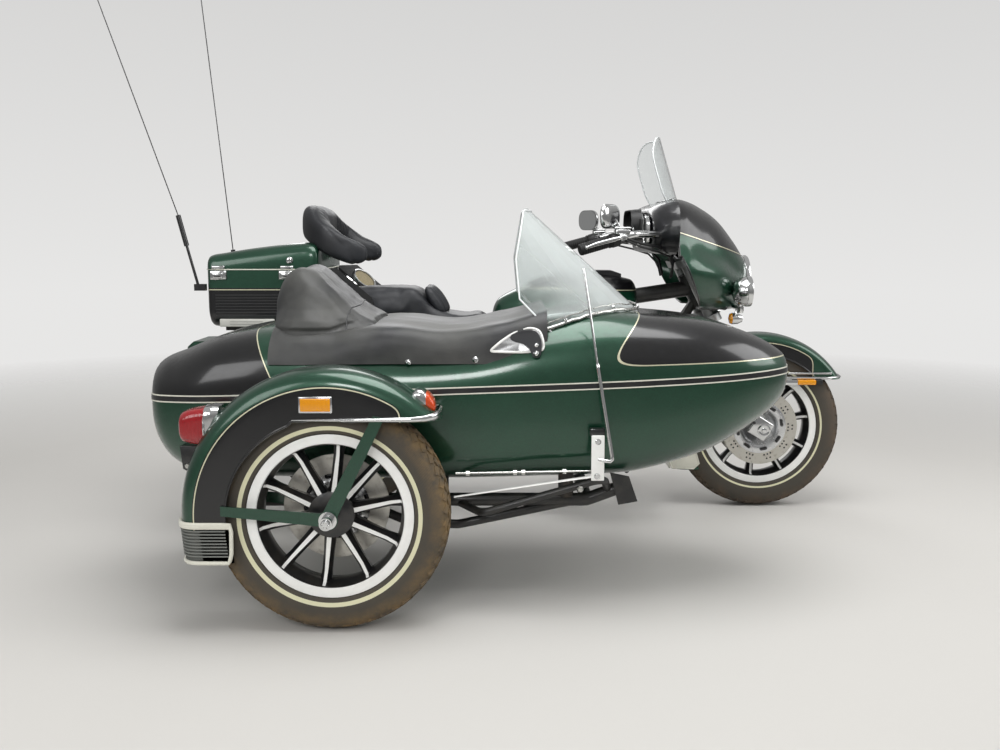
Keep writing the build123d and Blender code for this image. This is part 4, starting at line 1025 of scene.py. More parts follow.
def tube_along(bm, points, radius, sides=8, slot=0, closed=False):
    """A round wire through points, mitred at each of them."""
    clean = []
    for point in map(Vector, points):
        if not clean or (point - clean[-1]).length > radius * 0.5:
            clean.append(point)
    if closed and (clean[0] - clean[-1]).length < radius * 0.6:
        clean.pop()
    count, rings, side = len(clean), [], None
    for i, point in enumerate(clean):
        ahead = clean[(i + 1) % count] if closed or i < count - 1 else point
        behind = clean[i - 1] if closed or i > 0 else point
        run = (ahead - behind).normalized()
        side = run.orthogonal() if side is None else side - run * side.dot(run)
        side.normalize()
        other = run.cross(side)
        turns = [2 * pi * j / sides for j in range(sides)]
        rings.append([bm.verts.new(point + (side * cos(a) + other * sin(a)) * radius)
            for a in turns])
    if closed:
        shift = min(range(sides), key=lambda s: (rings[-1][0].co - rings[0][s].co).length)
        rings.append(rings[0][shift:] + rings[0][:shift])
    bridged(bm, rings, slot, caps=not closed)


def fender(name, centre, section, cuts, keep, body, stand_for, bead=0.0035):
    """A rolled fender. cuts are (x, z) points with (x, z) normals, keep says what stays."""
    bm = bmesh.new()
    turned(bm, centre, (0, 1, 0), section, steps=180)
    for (x, z), (nx, nz) in cuts:
        cut(bm, (x, 0, z), (nx, 0, nz))
    gone = [f for f in bm.faces if not keep(f.calc_center_median())]
    bmesh.ops.delete(bm, geom=gone, context="FACES")
    runs = edge_runs(bm)
    face = next(iter(bm.faces))
    thickened(bm, face, face.calc_center_median() - centre, 0.003)
    for run in runs:
        closed = (run[0] - run[-1]).length < 1e-6
        tube_along(bm, run[:-1] if closed else run, bead, closed=closed)
    hand_over(name, bm, body, [paints[stand_for]], sharp=40, stand_for=[stand_for])


def in_side_fender(p):
    """Above an edge that climbs from the rear skirt to the front."""
    if p.x < -0.08:
        return p.z > 0.292
    return p.z > (0.58 if p.x > 0.05 else 0.44 + (p.x + 0.08) * 0.14 / 0.13)


def in_front_fender(p):
    """Above an edge that climbs forward from the rear tip and then runs level."""
    slope = 0.155 + (p.x - 1.39) * (0.51 - 0.155) / (1.64 - 1.39)
    return p.z > 0.155 and p.z > (slope if p.x < 1.64 else 0.51)


fender("sidecar_fender_rolled", FENDER_CENTRE, crown_section(0.086, 0.266, 0.333, 0.3955),
    (((0, 0.292), (0, 1)), ((0, 0.58), (0, 1)), ((-0.08, 0.44), (-0.14, 0.13)),
    ((-0.08, 0), (1, 0)), ((0.05, 0), (1, 0))), in_side_fender, "chassis", "sidecar_fender")
fender("front_fender_rolled", FRONT_AXLE, crown_section(0.0745, 0.285, 0.33, 0.3665),
    (((0, 0.51), (0, 1)), ((0, 0.155), (0, 1)), ((1.39, 0.155), (-0.355, 0.25))), in_front_fender,
    "steering", "front_fender")

# %% [markdown]
# Bright rails follow the fenders' lower edges and wrap round their front tips. Chrome hides
# the edge where stones and boots knock the paint.

# %% Rails on the fenders
def blade(bm, points, sizes, slot=0, around=20):
    """A lever swept through points, each with its own (height, width)."""
    points, rings = [Vector(point) for point in points], []
    for k, (point, (tall, wide)) in enumerate(zip(points, sizes)):
        run = (points[min(k + 1, len(points) - 1)] - points[max(k - 1, 0)]).normalized()
        side = run.cross(Vector((0, 0, 1))).normalized()
        over = side.cross(run)
        ring = []
        for angle in (2 * pi * j / around for j in range(around)):
            ring.append(bm.verts.new(point + side * (wide / 2 * cos(angle)) + over
                * (tall / 2 * sin(angle))))
        rings.append(ring)
    bridged(bm, rings, slot, caps=True)


SIDE_RAIL_Y = -1.3905
bm = bmesh.new()
rail = ((0.052, SIDE_RAIL_Y, 0.584), (0.2, SIDE_RAIL_Y - 0.001, 0.5845),
    (0.36, SIDE_RAIL_Y, 0.5855), (0.395, SIDE_RAIL_Y + 0.005, 0.5875),
    (0.418, SIDE_RAIL_Y + 0.02, 0.59), (0.43, SIDE_RAIL_Y + 0.048, 0.5925), (0.4335, -1.3, 0.594),
    (0.43, -1.258, 0.5925), (0.418, -1.23, 0.59), (0.395, -1.215, 0.5875), (0.36, -1.2105, 0.5855),
    (0.28, -1.2105, 0.5845))
blade(bm, rail, ((0.003, 0.004), (0.009, 0.007), (0.013, 0.01), (0.016, 0.012), (0.02, 0.013),
    (0.023, 0.013), (0.024, 0.013), (0.023, 0.013), (0.02, 0.013), (0.016, 0.012), (0.013, 0.01),
    (0.003, 0.004)))
hand_over("sidecar_fender_rail", bm, "chassis", [chrome], sharp=60)

bm = bmesh.new()
for hand in (-1, 1):
    side_y = 0.0775 * hand
    tube_along(bm, ((1.6, side_y, 0.514), (1.74, side_y, 0.513), (1.85, side_y, 0.512),
        (1.893, side_y * 0.86, 0.513), (1.909, side_y * 0.55, 0.514), (1.912, 0.0, 0.515)), 0.006,
        sides=12)
    block(bm, (1.7, side_y, 0.528), (1.868, side_y + 0.005 * hand, 0.535), 0.0012)
hand_over("front_fender_rails", bm, "steering", [chrome], sharp=60)


# %% Side markers of the front fender: an amber block with a dark end cap, in a chrome holder
bm = bmesh.new()
for hand in (-1, 1):
    near, far = 0.078 * hand, 0.092 * hand
    block(bm, (1.56, near, 0.487), (1.8, far - 0.003 * (hand > 0), 0.506), 0.003)
    block(bm, (1.735, near, 0.488), (1.805, far * 1.04, 0.507), 0.003, 1, 3)
    block(bm, (1.806, near, 0.487), (1.832, far, 0.508), 0.005, 2, 3)
hand_over("front_fender_markers", bm, "steering", [chrome, amber_lens, moulded_black])

# %% [markdown]
# ## Sidecar lamps
# The tail lamp is a red lens in a chromed bezel on the fender's crown. The front marker is an
# orange one, and an amber reflector in a thin chromed frame sits on the fender's side.

# %% Lamps on the sidecar's fender
bm = bmesh.new()
hull(bm, ((-262, 26, 528, 580, 20), (-252, 40, 516, 592, 24), (-225, 45, 509, 601, 22),
    (-186, 46, 505, 606, 20)), SIDE_AXLE.y, 16, around=48, soften=1, slot=1, rounding=0.004)
hull(bm, ((-190, 50, 500, 609, 22), (-176, 51, 500, 611, 22), (-168, 49, 508, 611, 20),
    (-150, 40, 540, 609, 20)), SIDE_AXLE.y, 16, around=48, soften=1, slot=0, rounding=0.002)
tube_along(bm, [(-0.188, SIDE_AXLE.y + 0.0505 * cos(a), 0.555 + 0.054 * sin(a))
    for a in (2 * pi * i / 40 for i in range(40))], 0.0035, closed=True)
hull(bm, ((352, 34, 598, 640, 14), (372, 36, 598, 655, 16), (392, 35, 596, 650, 16),
    (400, 30, 595, 640, 14)), SIDE_AXLE.y, 12, around=40, soften=1, slot=0, rounding=0.004)
hull(bm, ((388, 33, 598, 650, 16), (404, 34, 594, 641, 16), (416, 30, 593, 622, 12),
    (420, 22, 596, 612, 7)), SIDE_AXLE.y, 14, around=40, soften=1, slot=2, rounding=0.004)
FACE_Y = -1.3875
block(bm, (0.07, FACE_Y - 0.0055, 0.602), (0.158, FACE_Y + 0.001, 0.646), 0.0035, 0, 3)
block(bm, (0.075, FACE_Y - 0.0085, 0.607), (0.153, FACE_Y - 0.003, 0.641), 0.0025, 3, 3)
hand_over("sidecar_lamps_dressed", bm, "chassis", [chrome, red_lens, orange_lens, amber_lens],
    stand_for=["sidecar_lamps"])

# %% Lenses on the motorcycle's rear lamps, and the mouths of its exhausts, each closed by a flat black disc of painted shade
bm = bmesh.new()
# A lamp or pipe end: its middle, its radius, its lens slot and how far the lens domes
# A pipe's lens is a flat black disc: painted shade standing for the dark inside of the open pipe.
for place, radius, slot, dome in (((-0.375, 0.0, 0.6), 0.045, 1, 0.018),
        ((-0.385, -0.2, 0.6), 0.032, 2, 0.013), ((-0.385, 0.2, 0.6), 0.032, 2, 0.013),
        ((-0.52, -0.225, 0.225), 0.046, 3, 0.0), ((-0.52, 0.225, 0.225), 0.046, 3, 0.0)):
    turned(bm, place, (-1, 0, 0), ((0.0, radius), (0.003, radius), (0.0045, radius - 0.0015),
        (0.0045, radius - 0.0035), (0.0015, radius - 0.0045)), 48)
    turned(bm, place, (-1, 0, 0), ((0.0015, radius - 0.0045),
        (0.0015 + dome * 0.4, (radius - 0.0045) * 0.93),
        (0.0015 + dome * 0.8, (radius - 0.0045) * 0.6), (0.0015 + dome, 0.0)), 48, slot=slot)
hand_over("rear_lenses_and_mouths", bm, "chassis", [chrome, red_lens, amber_lens, moulded_black],
    sharp=45)

# %% Bracket under the tail lamp, folded from strip
bm = bmesh.new()
plate(bm, ((-0.262, 0.5), (-0.222, 0.5), (-0.218, 0.452), (-0.232, 0.425), (-0.256, 0.44)), -1.318,
    -1.314, 0.0008)
turned(bm, (-0.243, -1.3195, 0.448), (0, 1, 0), ((-0.004, 0.0), (-0.004, 0.006), (-0.001, 0.008),
    (0.002, 0.008)), steps=16, slot=1)
block(bm, (-0.262, -1.318, 0.497), (-0.196, -1.27, 0.501), 0.0008)
hand_over("tail_lamp_bracket", bm, "chassis", [black_enamel, tired_chrome])

# %% [markdown]
# ## Mud flap
# A ribbed rubber panel in a chromed frame hangs from the fender's rear end.

# %% Flap: rubber panels with ribs, framed in chrome
FLAP_LOW, FLAP_HIGH = 0.202, 0.306


def flap_path(offset=0.0, reach=-0.118):
    """The flap in plan: along the fender's side, round its back, and along the other side."""
    side = [Vector((reach + (-0.2 - reach) * k / 5, -1.3885 - offset, 0)) for k in range(5)]
    for k in range(13):
        t = pi / 2 * k / 12
        side.append(Vector((-0.2 - (0.062 + offset) * sin(t) ** (2 / 2.8),
            -1.3 - (0.0885 + offset) * max(0.0, cos(t)) ** (2 / 2.8), 0)))
    return side + [Vector((p.x, -2.6 - p.y, 0)) for p in reversed(side[:-1])]


bm = bmesh.new()
rings = []
for level in (FLAP_LOW, FLAP_LOW + 0.03, FLAP_HIGH - 0.03, FLAP_HIGH):
    lean = 0.01 * (FLAP_HIGH - level) / 0.104
    rings.append([bm.verts.new((p.x + lean, p.y, level)) for p in flap_path()])
bridged(bm, rings, closed=False)
bmesh.ops.solidify(bm, geom=bm.faces[:], thickness=0.004)
for index in range(9):
    level = 0.22 + index * 0.0085
    lean = 0.01 * (FLAP_HIGH - level) / 0.104
    tube_along(bm, [(p.x + lean, p.y, level) for p in flap_path(0.0012, -0.132)], 0.0022)
rim = flap_path(0.001)
low_rim = [Vector((p.x + 0.01, p.y, FLAP_LOW)) for p in rim]
high_rim = [Vector((p.x, p.y, FLAP_HIGH)) for p in rim]
low_rim[0] += Vector((-0.012, 0, 0.006))
low_rim[-1] += Vector((-0.012, 0, 0.006))


def up_the_side(start, end):
    return [start.lerp(end, t) + Vector((0.004, 0, 0)) for t in (0.2, 0.5, 0.8)]


around_rim = (low_rim + up_the_side(low_rim[-1], high_rim[-1]) + high_rim[::-1]
    + up_the_side(high_rim[0], low_rim[0]))
tube_along(bm, around_rim, 0.0055, sides=10, closed=True, slot=1)
blade(bm, [(p.x, p.y, FLAP_HIGH - 0.004) for p in flap_path(0.003)], [(0.017, 0.006)] * len(rim),
    slot=1)
hand_over("mud_flap_framed", bm, "chassis", [grey_rubber, cream_trim], stand_for=["mud_flap"])

bm = bmesh.new()
for hand in (-1, 1):
    y0 = 0.0745 * hand
    outline = ((1.262, 0.158), (1.236, 0.218), (1.29, 0.25), (1.352, 0.222), (1.366, 0.176),
        (1.345, 0.156))
    plate(bm, outline, y0, y0 + 0.004 * hand, 0.001)
    tube_along(bm, [(x, y0 + 0.003 * hand, z) for x, z in outline], 0.0035, closed=True)
block(bm, (1.25, -0.072, 0.156), (1.256, 0.072, 0.212), 0.001)
hand_over("front_fender_flap", bm, "steering", [cream_trim])

# %% [markdown]
# ## Hubs and brakes
# A stamped cap covers each hub, with a castellated chrome nut on the axle. The discs are
# drilled in groups to clear water, and their carriers are slotted to save weight. The holes
# and slots are black discs and bricks laid on the face: painted shade where the metal is open.

# %% Hub caps, axle nuts and discs
def hub_cap(bm, centre, outward):
    """A black stepped cap outside a hub."""
    turned(bm, centre, (0, outward, 0), ((0.04, 0.0), (0.04, 0.02), (0.0385, 0.024),
        (0.0375, 0.036), (0.0405, 0.039), (0.0405, 0.043), (0.036, 0.046), (0.032, 0.06),
        (0.02, 0.0635)))


def star_nut(bm, centre, outward, slot):
    """A round nut with a star of six bars on its end."""
    turned(bm, centre, (0, outward, 0), ((0.0, 0.016), (0.003, 0.017), (0.003, 0.0125),
        (0.01, 0.0122), (0.012, 0.01), (0.0125, 0.0)), 24, slot=slot)
    for index in range(6):
        angle = radians(60 * index)
        middle = Vector(centre) + Vector((0.0082 * cos(angle), outward * 0.0125,
            0.0082 * sin(angle)))
        brick(bm, middle, (0.0026, 0.0015, 0.0012), 0.0005, slot,
            turn=Matrix.Rotation(-angle, 3, "Y"))


def brake_disc(bm, centre, offset, outward):
    """A disc on a carrier, seen from its outer face. Its drill holes and the carrier's slots are
    black discs and bricks: painted shade for the openings.
    """
    face = Vector(centre) + Vector((0, offset, 0))
    turned(bm, face, (0, outward, 0), ((-0.0025, 0.092), (-0.0025, 0.1455), (-0.002, 0.146),
        (0.002, 0.146), (0.0025, 0.1455), (0.0025, 0.092), (-0.0025, 0.092)), 96, slot=0)
    turned(bm, face, (0, outward, 0), ((-0.016, 0.03), (-0.01, 0.056), (-0.004, 0.066),
        (0.001, 0.072), (0.0032, 0.08), (0.0034, 0.101), (0.0022, 0.1035), (-0.0025, 0.1035)), 64,
        slot=1)
    # Drill holes: small black discs, painted shade where the disc is open
    for group in range(10):
        for radius, spread in ((0.112, -6.5), (0.112, 0.0), (0.112, 6.5), (0.128, -3.2),
                (0.128, 3.2)):
            angle = radians(36 * group + spread)
            spot = face + Vector((radius * cos(angle), outward * 0.0026, radius * sin(angle)))
            turned(bm, spot, (0, outward, 0), ((0.0004, 0.0), (0.0004, 0.003), (0.0, 0.0036)), 10,
                slot=2)
    # Carrier slots: black rounded bricks, painted shade where the carrier is open
    for index in range(8):
        angle = radians(45 * index + 12)
        spot = face + Vector((0.086 * cos(angle), outward * 0.003, 0.086 * sin(angle)))
        brick(bm, spot, (0.0065, 0.0022, 0.015), 0.0058, 2, 4, turn=Matrix.Rotation(-angle, 3, "Y"))


for name, centre, body, caps, discs in (("sidecar", SIDE_AXLE, "sidecar_wheel", (-1,), (0.062,)),
        ("rear", REAR_AXLE, "rear_wheel", (1,), (-0.062,)),
        ("front", FRONT_AXLE, "front_wheel", (), (-0.062, 0.062))):
    bm = bmesh.new()
    for outward in caps:
        hub_cap(bm, centre, outward)
    for offset in discs:
        brake_disc(bm, centre, offset, 1 if offset > 0 else -1)
    if caps:
        for face in bm.faces:
            if face.material_index == 0 and (face.calc_center_median() - centre).y * caps[0] > 0:
                face.material_index = 3
    hand_over(name + "_hub_and_brake", bm, body, [brake_steel, aluminium, black_enamel,
        wheel_black], stand_for=[name + ("_brake_discs" if name == "front" else "_brake_disc")])

bm = bmesh.new()
star_nut(bm, (SIDE_AXLE.x, -1.4275, SIDE_AXLE.z), -1, 0)
turned(bm, (SIDE_AXLE.x, -1.3935, SIDE_AXLE.z), (0, -1, 0),
    ((0.0, 0.024), (0.002, 0.024), (0.002, 0.017), (0.036, 0.0165)), 32)
hand_over("sidecar_axle_nut", bm, "chassis", [chrome])

# %% [markdown]
# ## Trunk
# The trunk is a moulded box: the lid and the upper half are green, the lower half is black
# with ribs, and a pale seal shows in the split. Two latches and a lock face the sidecar.

# %% Trunk box and lid, moulded with rounded edges
def opened_shell(rows, height, keep_above, wall):
    """A hull along x, cut level at a height and hollowed to a wall."""
    bm = bmesh.new()
    hull(bm, rows, 0.0, 60, around=96, soften=2, rounding=0.012)
    cut(bm, (0, 0, height), (0, 0, 1), clear_inner=keep_above, clear_outer=not keep_above)
    outward = Vector((0, 0, 1 if keep_above else -1))
    outermost = max(bm.faces, key=lambda f: f.calc_center_median().z * outward.z)
    thickened(bm, outermost, outward, wall)
    return bm


LID_ROWS = ((-483, 246, 880, 962, 24), (-466, 257, 880, 984, 32), (-420, 261, 880, 994, 38),
    (-300, 262, 880, 1013, 42), (-130, 262, 880, 1031, 42), (-82, 260, 880, 1027, 38),
    (-60, 248, 880, 1000, 26))
BOX_ROWS = ((-482, 247, 790, 990, 30), (-470, 257, 742, 990, 34), (-452, 261, 726, 990, 36),
    (-300, 262, 724, 990, 36), (-134, 262, 725, 990, 36), (-98, 261, 760, 990, 36),
    (-68, 258, 798, 990, 34), (-61, 248, 815, 990, 30))
hand_over("trunk_lid_shell", opened_shell(LID_ROWS, 0.9365, True, 0.005), "trunk_lid",
    [paints["trunk_lid"]], sharp=40, stand_for=["trunk_lid"])
hand_over("trunk_box_shell", opened_shell(BOX_ROWS, 0.9335, False, 0.005), "chassis",
    [paints["trunk_body"]], sharp=40, stand_for=["trunk_body"])

# %% Trim on the trunk: seal, latches, lock, ribs and the pale panel
bm = bmesh.new()
seal = even_outline(round_section(0.2115, -0.2625, 0.2625, 0.045), 120, 1)
tube_along(bm, [(-0.2715 + p.x, p.y, 0.935) for p in seal], 0.0022, sides=8, closed=True)
hand_over("trunk_seal", bm, "chassis", [cream_trim])

LATCHES = (-0.431, -0.182)
bm = bmesh.new()
for x in LATCHES:
    block(bm, (x - 0.03, -0.2685, 0.898), (x + 0.03, -0.2612, 0.932), 0.004, 0, 3)
    block(bm, (x - 0.021, -0.2725, 0.903), (x + 0.018, -0.267, 0.924), 0.003, 0, 3)
    block(bm, (x - 0.012, -0.274, 0.908), (x + 0.01, -0.2715, 0.914), 0.001, 1, 2)
hand_over("trunk_latches", bm, "chassis", [chrome, black_enamel])
bm = bmesh.new()
for x in LATCHES:
    block(bm, (x - 0.024, -0.2675, 0.938), (x + 0.024, -0.2612, 0.949), 0.003, 0, 3)
turned(bm, (-0.171, -0.2615, 0.968), (0, -1, 0), ((0.0, 0.0125), (0.0035, 0.0122), (0.005, 0.01),
    (0.0052, 0.0045), (0.004, 0.004), (0.004, 0.0)), 28)
hand_over("trunk_keepers_and_lock", bm, "trunk_lid", [chrome])

RIBS, RIB_LOW, RIB_PITCH = 8, 0.766, 0.0105
bm = bmesh.new()
for hand in (-1, 1):
    for index in range(RIBS):
        level = RIB_LOW + index * RIB_PITCH
        block(bm, (-0.445, 0.2612 * hand, level), (-0.15, 0.2634 * hand, level + 0.005), 0.0009)
hand_over("trunk_ribs", bm, "chassis", [moulded_black])
bm = bmesh.new()
for hand in (-1, 1):
    near, far = 0.2585 * hand, 0.263 * hand
    block(bm, (-0.432, near, 0.727), (-0.232, far, 0.756), 0.003, 0, 3)
    for level in (0.7365, 0.7455):
        block(bm, (-0.395, near, level), (-0.275, far * 1.003, level + 0.0008), 0, 1)
hand_over("trunk_side_panels", bm, "chassis", [pale_panel, black_enamel])

# %% [markdown]
# ## Fairing and its lamps
# The fairing turns with the fork: an outer shell with a broad brow and cheeks that narrow
# forward round the headlamp. The shell is moulded open at the back, where a black inner panel
# carries the instruments and two loudspeakers.

# %% Outer fairing shell
FAIRING_ROWS = ((1223, 384, 812, 1190, 138, 330), (1262, 380, 800, 1187, 150, 315),
    (1320, 352, 790, 1166, 150, 280), (1400, 286, 781, 1116, 140, 230),
    (1470, 190, 780, 1042, 112, 160), (1508, 132, 792, 992, 86, 112), (1526, 98, 818, 958, 60, 86))
# The rear edge leans back from its foot to the tips of the brow
EDGE_FOOT, EDGE_NORMAL = Vector((1.231, 0.0, 0.985)), Vector((0.185, 0.0, 0.087))
BELLY_HEIGHT, BELLY_FRONT = 0.87, 1.44


def is_open(p):
    behind = p.z < EDGE_FOOT.z and (p - EDGE_FOOT).dot(EDGE_NORMAL) < 0
    below = p.z < BELLY_HEIGHT and p.x < BELLY_FRONT and abs(p.y) < 0.17
    return behind or below or p.x < 1.2235


bm = bmesh.new()
hull(bm, FAIRING_ROWS, 0.0, 70, around=120, soften=3)
cut(bm, EDGE_FOOT, EDGE_NORMAL)
cut(bm, EDGE_FOOT, (0, 0, 1))
cut(bm, (0, 0, BELLY_HEIGHT), (0, 0, 1))
cut(bm, (BELLY_FRONT, 0, 0), (1, 0, 0))
bmesh.ops.delete(bm, geom=[f for f in bm.faces if is_open(f.calc_center_median())], context="FACES")
runs = edge_runs(bm)
thickened(bm, max(bm.faces, key=lambda f: f.calc_center_median().z), Vector((0, 0, 1)), 0.005)
for run in runs:
    if len(run) > 30:
        tube_along(bm, run[:-1], 0.003, closed=True, slot=1)
hand_over("fairing_shell", bm, "steering", [paints["fairing"], black_enamel], sharp=45,
    stand_for=["fairing"])


# %% Lamps: a chrome bowl, a rim and a lens over a reflector
def lamp(bm, centre, radius, depth, outward=(1, 0, 0)):
    """A round lamp that looks outward: bowl and rim in slot 0, its lens in slot 1."""
    turned(bm, centre, outward, ((-depth, 0.0), (-depth, radius * 0.3),
        (-depth * 0.86, radius * 0.62), (-depth * 0.5, radius * 0.88),
        (-depth * 0.12, radius * 0.965), (-0.004, radius * 0.97), (-0.003, radius), (0.01, radius),
        (0.015, radius * 0.965), (0.013, radius * 0.9), (0.004, radius * 0.89),
        (-depth * 0.3, radius * 0.7), (-depth * 0.55, radius * 0.3), (-depth * 0.6, 0.0)), 56,
        slot=0)
    turned(bm, centre, outward, ((0.006, radius * 0.905), (0.012, radius * 0.9),
        (0.018, radius * 0.7), (0.021, radius * 0.4), (0.022, 0.0)), 48, slot=1)


bm = bmesh.new()
lamp(bm, (1.528, 0.0, 0.892), 0.09, 0.066)
hand_over("headlamp_dressed", bm, "steering", [chrome, lamp_glass], stand_for=["headlamp"])

bm = bmesh.new()
tube_along(bm, [(1.47, y, 0.792) for y in (-0.236, -0.12, 0.0, 0.12, 0.236)], 0.0085, sides=14)
for hand in (-1, 1):
    lamp(bm, (1.49, 0.24 * hand, 0.855), 0.056, 0.05)
    tube_along(bm, [(1.47, 0.234 * hand, 0.788), (1.468, 0.238 * hand, 0.802),
        (1.466, 0.24 * hand, 0.816)], 0.01, sides=14)
    turned(bm, (1.47, 0.236 * hand, 0.776), (0, 0, 1),
        ((0.0, 0.0), (0.0, 0.011), (0.008, 0.0135), (0.022, 0.0135), (0.026, 0.01)), 20)
    turned(bm, (1.462, 0.195 * hand, 0.772), (0, 0, -1),
        ((0.0, 0.006), (0.01, 0.006), (0.014, 0.0055)), 16)
    turned(bm, (1.462, 0.195 * hand, 0.752), (-0.2, 0, 0),
        ((-0.026, 0.0), (-0.026, 0.012), (-0.01, 0.02), (0.012, 0.0215)), 28)
    turned(bm, (1.462, 0.195 * hand, 0.752), (-0.2, 0, 0),
        ((0.012, 0.0205), (0.02, 0.018), (0.026, 0.0)), 28, slot=2)
    tube_along(bm, [(1.47, 0.195 * hand, 0.79), (1.466, 0.195 * hand, 0.775),
        (1.462, 0.195 * hand, 0.762)], 0.006)
hand_over("spot_lamps_dressed", bm, "steering", [chrome, lamp_glass, amber_lens],
    stand_for=["spot_lamps"])

# %% [markdown]
# The instruments sit in round pods with chromed rings, and the loudspeakers behind grilles.
# Their faces are left without numerals.

# %% Instrument rings, faces and loudspeaker grilles
bm = bmesh.new()
for y, height, radius in ((-0.232, 1.075, 0.052), (0.232, 1.075, 0.052), (-0.072, 1.09, 0.048),
        (0.072, 1.09, 0.048), (0.0, 1.04, 0.026)):
    centre = Vector((1.119, y, height))
    turned(bm, centre, (-1, 0, 0), ((-0.008, radius * 1.0), (0.002, radius * 1.03),
        (0.0045, radius * 0.97), (0.003, radius * 0.9), (-0.001, radius * 0.89)), 48, slot=0)
    speaker = abs(y) > 0.2
    turned(bm, centre, (-1, 0, 0), ((0.0, radius * 0.9), (0.0012, radius * 0.5), (0.0016, 0.0)), 36,
        slot=2 if speaker else 1)
    if speaker:
        for ring in (0.25, 0.45, 0.65):
            turned(bm, centre, (-1, 0, 0), ((0.0005, radius * (ring + 0.05)),
                (0.0035, radius * (ring + 0.03)), (0.0035, radius * (ring - 0.03)),
                (0.0005, radius * (ring - 0.05))), 36, slot=2)
    elif radius > 0.03:
        block(bm, (1.1165, y - 0.0012, height - 0.006), (1.1175, y + 0.0012, height + 0.034),
            0.0003, 3, turn=Matrix.Rotation(radians(40), 3, "X"), about=(1.117, y, height))
        for k in range(11):
            angle = radians(-130 + 26 * k)
            spot = Vector((1.1172, y + 0.037 * sin(angle), height + 0.037 * cos(angle)))
            brick(bm, spot, (0.0006, 0.0006, 0.0035), 0.0002, 3,
                turn=Matrix.Rotation(-angle, 3, "X"))
hand_over("fairing_instruments", bm, "steering", [chrome, black_enamel, moulded_black, cream_trim])

# %% [markdown]
# ## Controls
# Ribbed rubber grips slide over the bar's ends. Each mirror is a convex chromed shell on a bent
# stalk, with silvered glass set in its face.

# %% Grips and switch housings
bm = bmesh.new()
for hand in (-1, 1):
    inner, outer = Vector((0.965, 0.428 * hand, 1.036)), Vector((0.865, 0.458 * hand, 1.008))
    along = (outer - inner).normalized()
    outline = [(-0.006, 0.0175), (-0.004, 0.0225), (0.002, 0.023), (0.006, 0.0195)]
    for index in range(11):
        start = 0.01 + index * 0.0088
        outline += [(start, 0.019), (start + 0.002, 0.0205), (start + 0.0055, 0.0205),
            (start + 0.0075, 0.019)]
    outline += [(0.1075, 0.0195), (0.1105, 0.018), (0.112, 0.0)]
    turned(bm, inner, along, outline, 32)
    spot = inner - along * 0.02
    turned(bm, spot, along, ((-0.016, 0.0135), (-0.016, 0.0225), (-0.013, 0.0245), (0.01, 0.0245),
        (0.013, 0.0225), (0.013, 0.0135)), 32, slot=1)
    for k, lift in enumerate((0.004, -0.008)):
        switch = spot + Vector((-0.016 + 0.01 * k, -0.014 * hand, lift))
        brick(bm, switch, (0.005, 0.004, 0.0035), 0.0012, 1)
hand_over("grips_and_switches", bm, "steering", [grip_rubber, wrinkle_black], sharp=50)

# %% Mirrors
bm = bmesh.new()
for hand in (-1, 1):
    centre_y, before = 0.424 * hand, set(bm.verts)
    hull(bm, ((963, 59, 1080, 1164, 34), (969, 60, 1080, 1164, 34), (978, 55, 1084, 1160, 32),
        (985, 40, 1097, 1147, 22), (987, 22, 1112, 1132, 9)), centre_y, 16, around=48, soften=1)
    glass = even_outline(round_section(0.056, 1.084, 1.16, 0.032), 48, 1)
    face = bm.faces.new([bm.verts.new((0.9622, p.x + centre_y, p.y)) for p in glass])
    face.material_index = 1
    bmesh.ops.rotate(bm, verts=[vert for vert in bm.verts if vert not in before],
        cent=(0.962, centre_y, 1.122), matrix=Matrix.Rotation(0.607 * hand, 3, "Z"))
    tube_along(bm, [(1.02, 0.412 * hand, 1.062), (1.012, 0.414 * hand, 1.078),
        (0.998, 0.42 * hand, 1.094), (0.986, 0.425 * hand, 1.112), (0.983, 0.428 * hand, 1.126)],
        0.005, sides=12)
    turned(bm, (1.02, 0.412 * hand, 1.058), (0, 0, 1),
        ((0.0, 0.011), (0.008, 0.011), (0.011, 0.006)), 18)
hand_over("mirrors_dressed", bm, "steering", [chrome, mirror_glass], stand_for=["mirrors"])

# %% [markdown]
# ## Fuel tank and console
# The tank is pressed steel in two halves, painted like the body. A black console runs along
# its top, with a chromed filler cap on each side.

# %% Tank and filler caps
TANK_ROWS = ((560, 68, 706, 800, 40, 52), (620, 100, 697, 838, 58, 80),
    (700, 136, 688, 872, 78, 108), (850, 165, 680, 905, 94, 128), (960, 166, 688, 907, 94, 126),
    (1040, 155, 706, 902, 88, 116), (1120, 104, 762, 884, 58, 80))
bm = bmesh.new()
hull(bm, TANK_ROWS, 0.0, 60, around=80, soften=3, rounding=0.03)
bmesh.ops.recalc_face_normals(bm, faces=bm.faces)
hand_over("fuel_tank_shell", bm, "chassis", [paints["fuel_tank"]], sharp=60,
    stand_for=["fuel_tank"])

bm = bmesh.new()
for hand in (-1, 1):
    turned(bm, (0.86, 0.084 * hand, 0.903), (0, 0, 1),
        ((0.0, 0.034), (0.006, 0.034), (0.009, 0.031), (0.013, 0.03), (0.017, 0.026),
        (0.0185, 0.0)), 40)
hand_over("filler_caps", bm, "chassis", [chrome])

# %% [markdown]
# ## Sidecar windscreen
# The screen is clear acrylic, bent to a cone. A bright strip with screws clamps its base, and
# a vent panel behind it has a bright rim, with the cover's corner folded into it.

# %% Clamping strip, screws, snap studs and the folded corner
STUD = ((-0.002, 0.0085), (0.0015, 0.0085), (0.003, 0.0065), (0.0065, 0.006), (0.0085, 0.004),
    (0.009, 0.0))


def side_hit(tree, x, z, hand):
    """Where a level ray from one side meets a surface, and the surface's normal there."""
    start = Vector((x, SIDECAR_Y + 0.6 * hand, z))
    return tree.ray_cast(start, Vector((0, -hand, 0)))[:2]


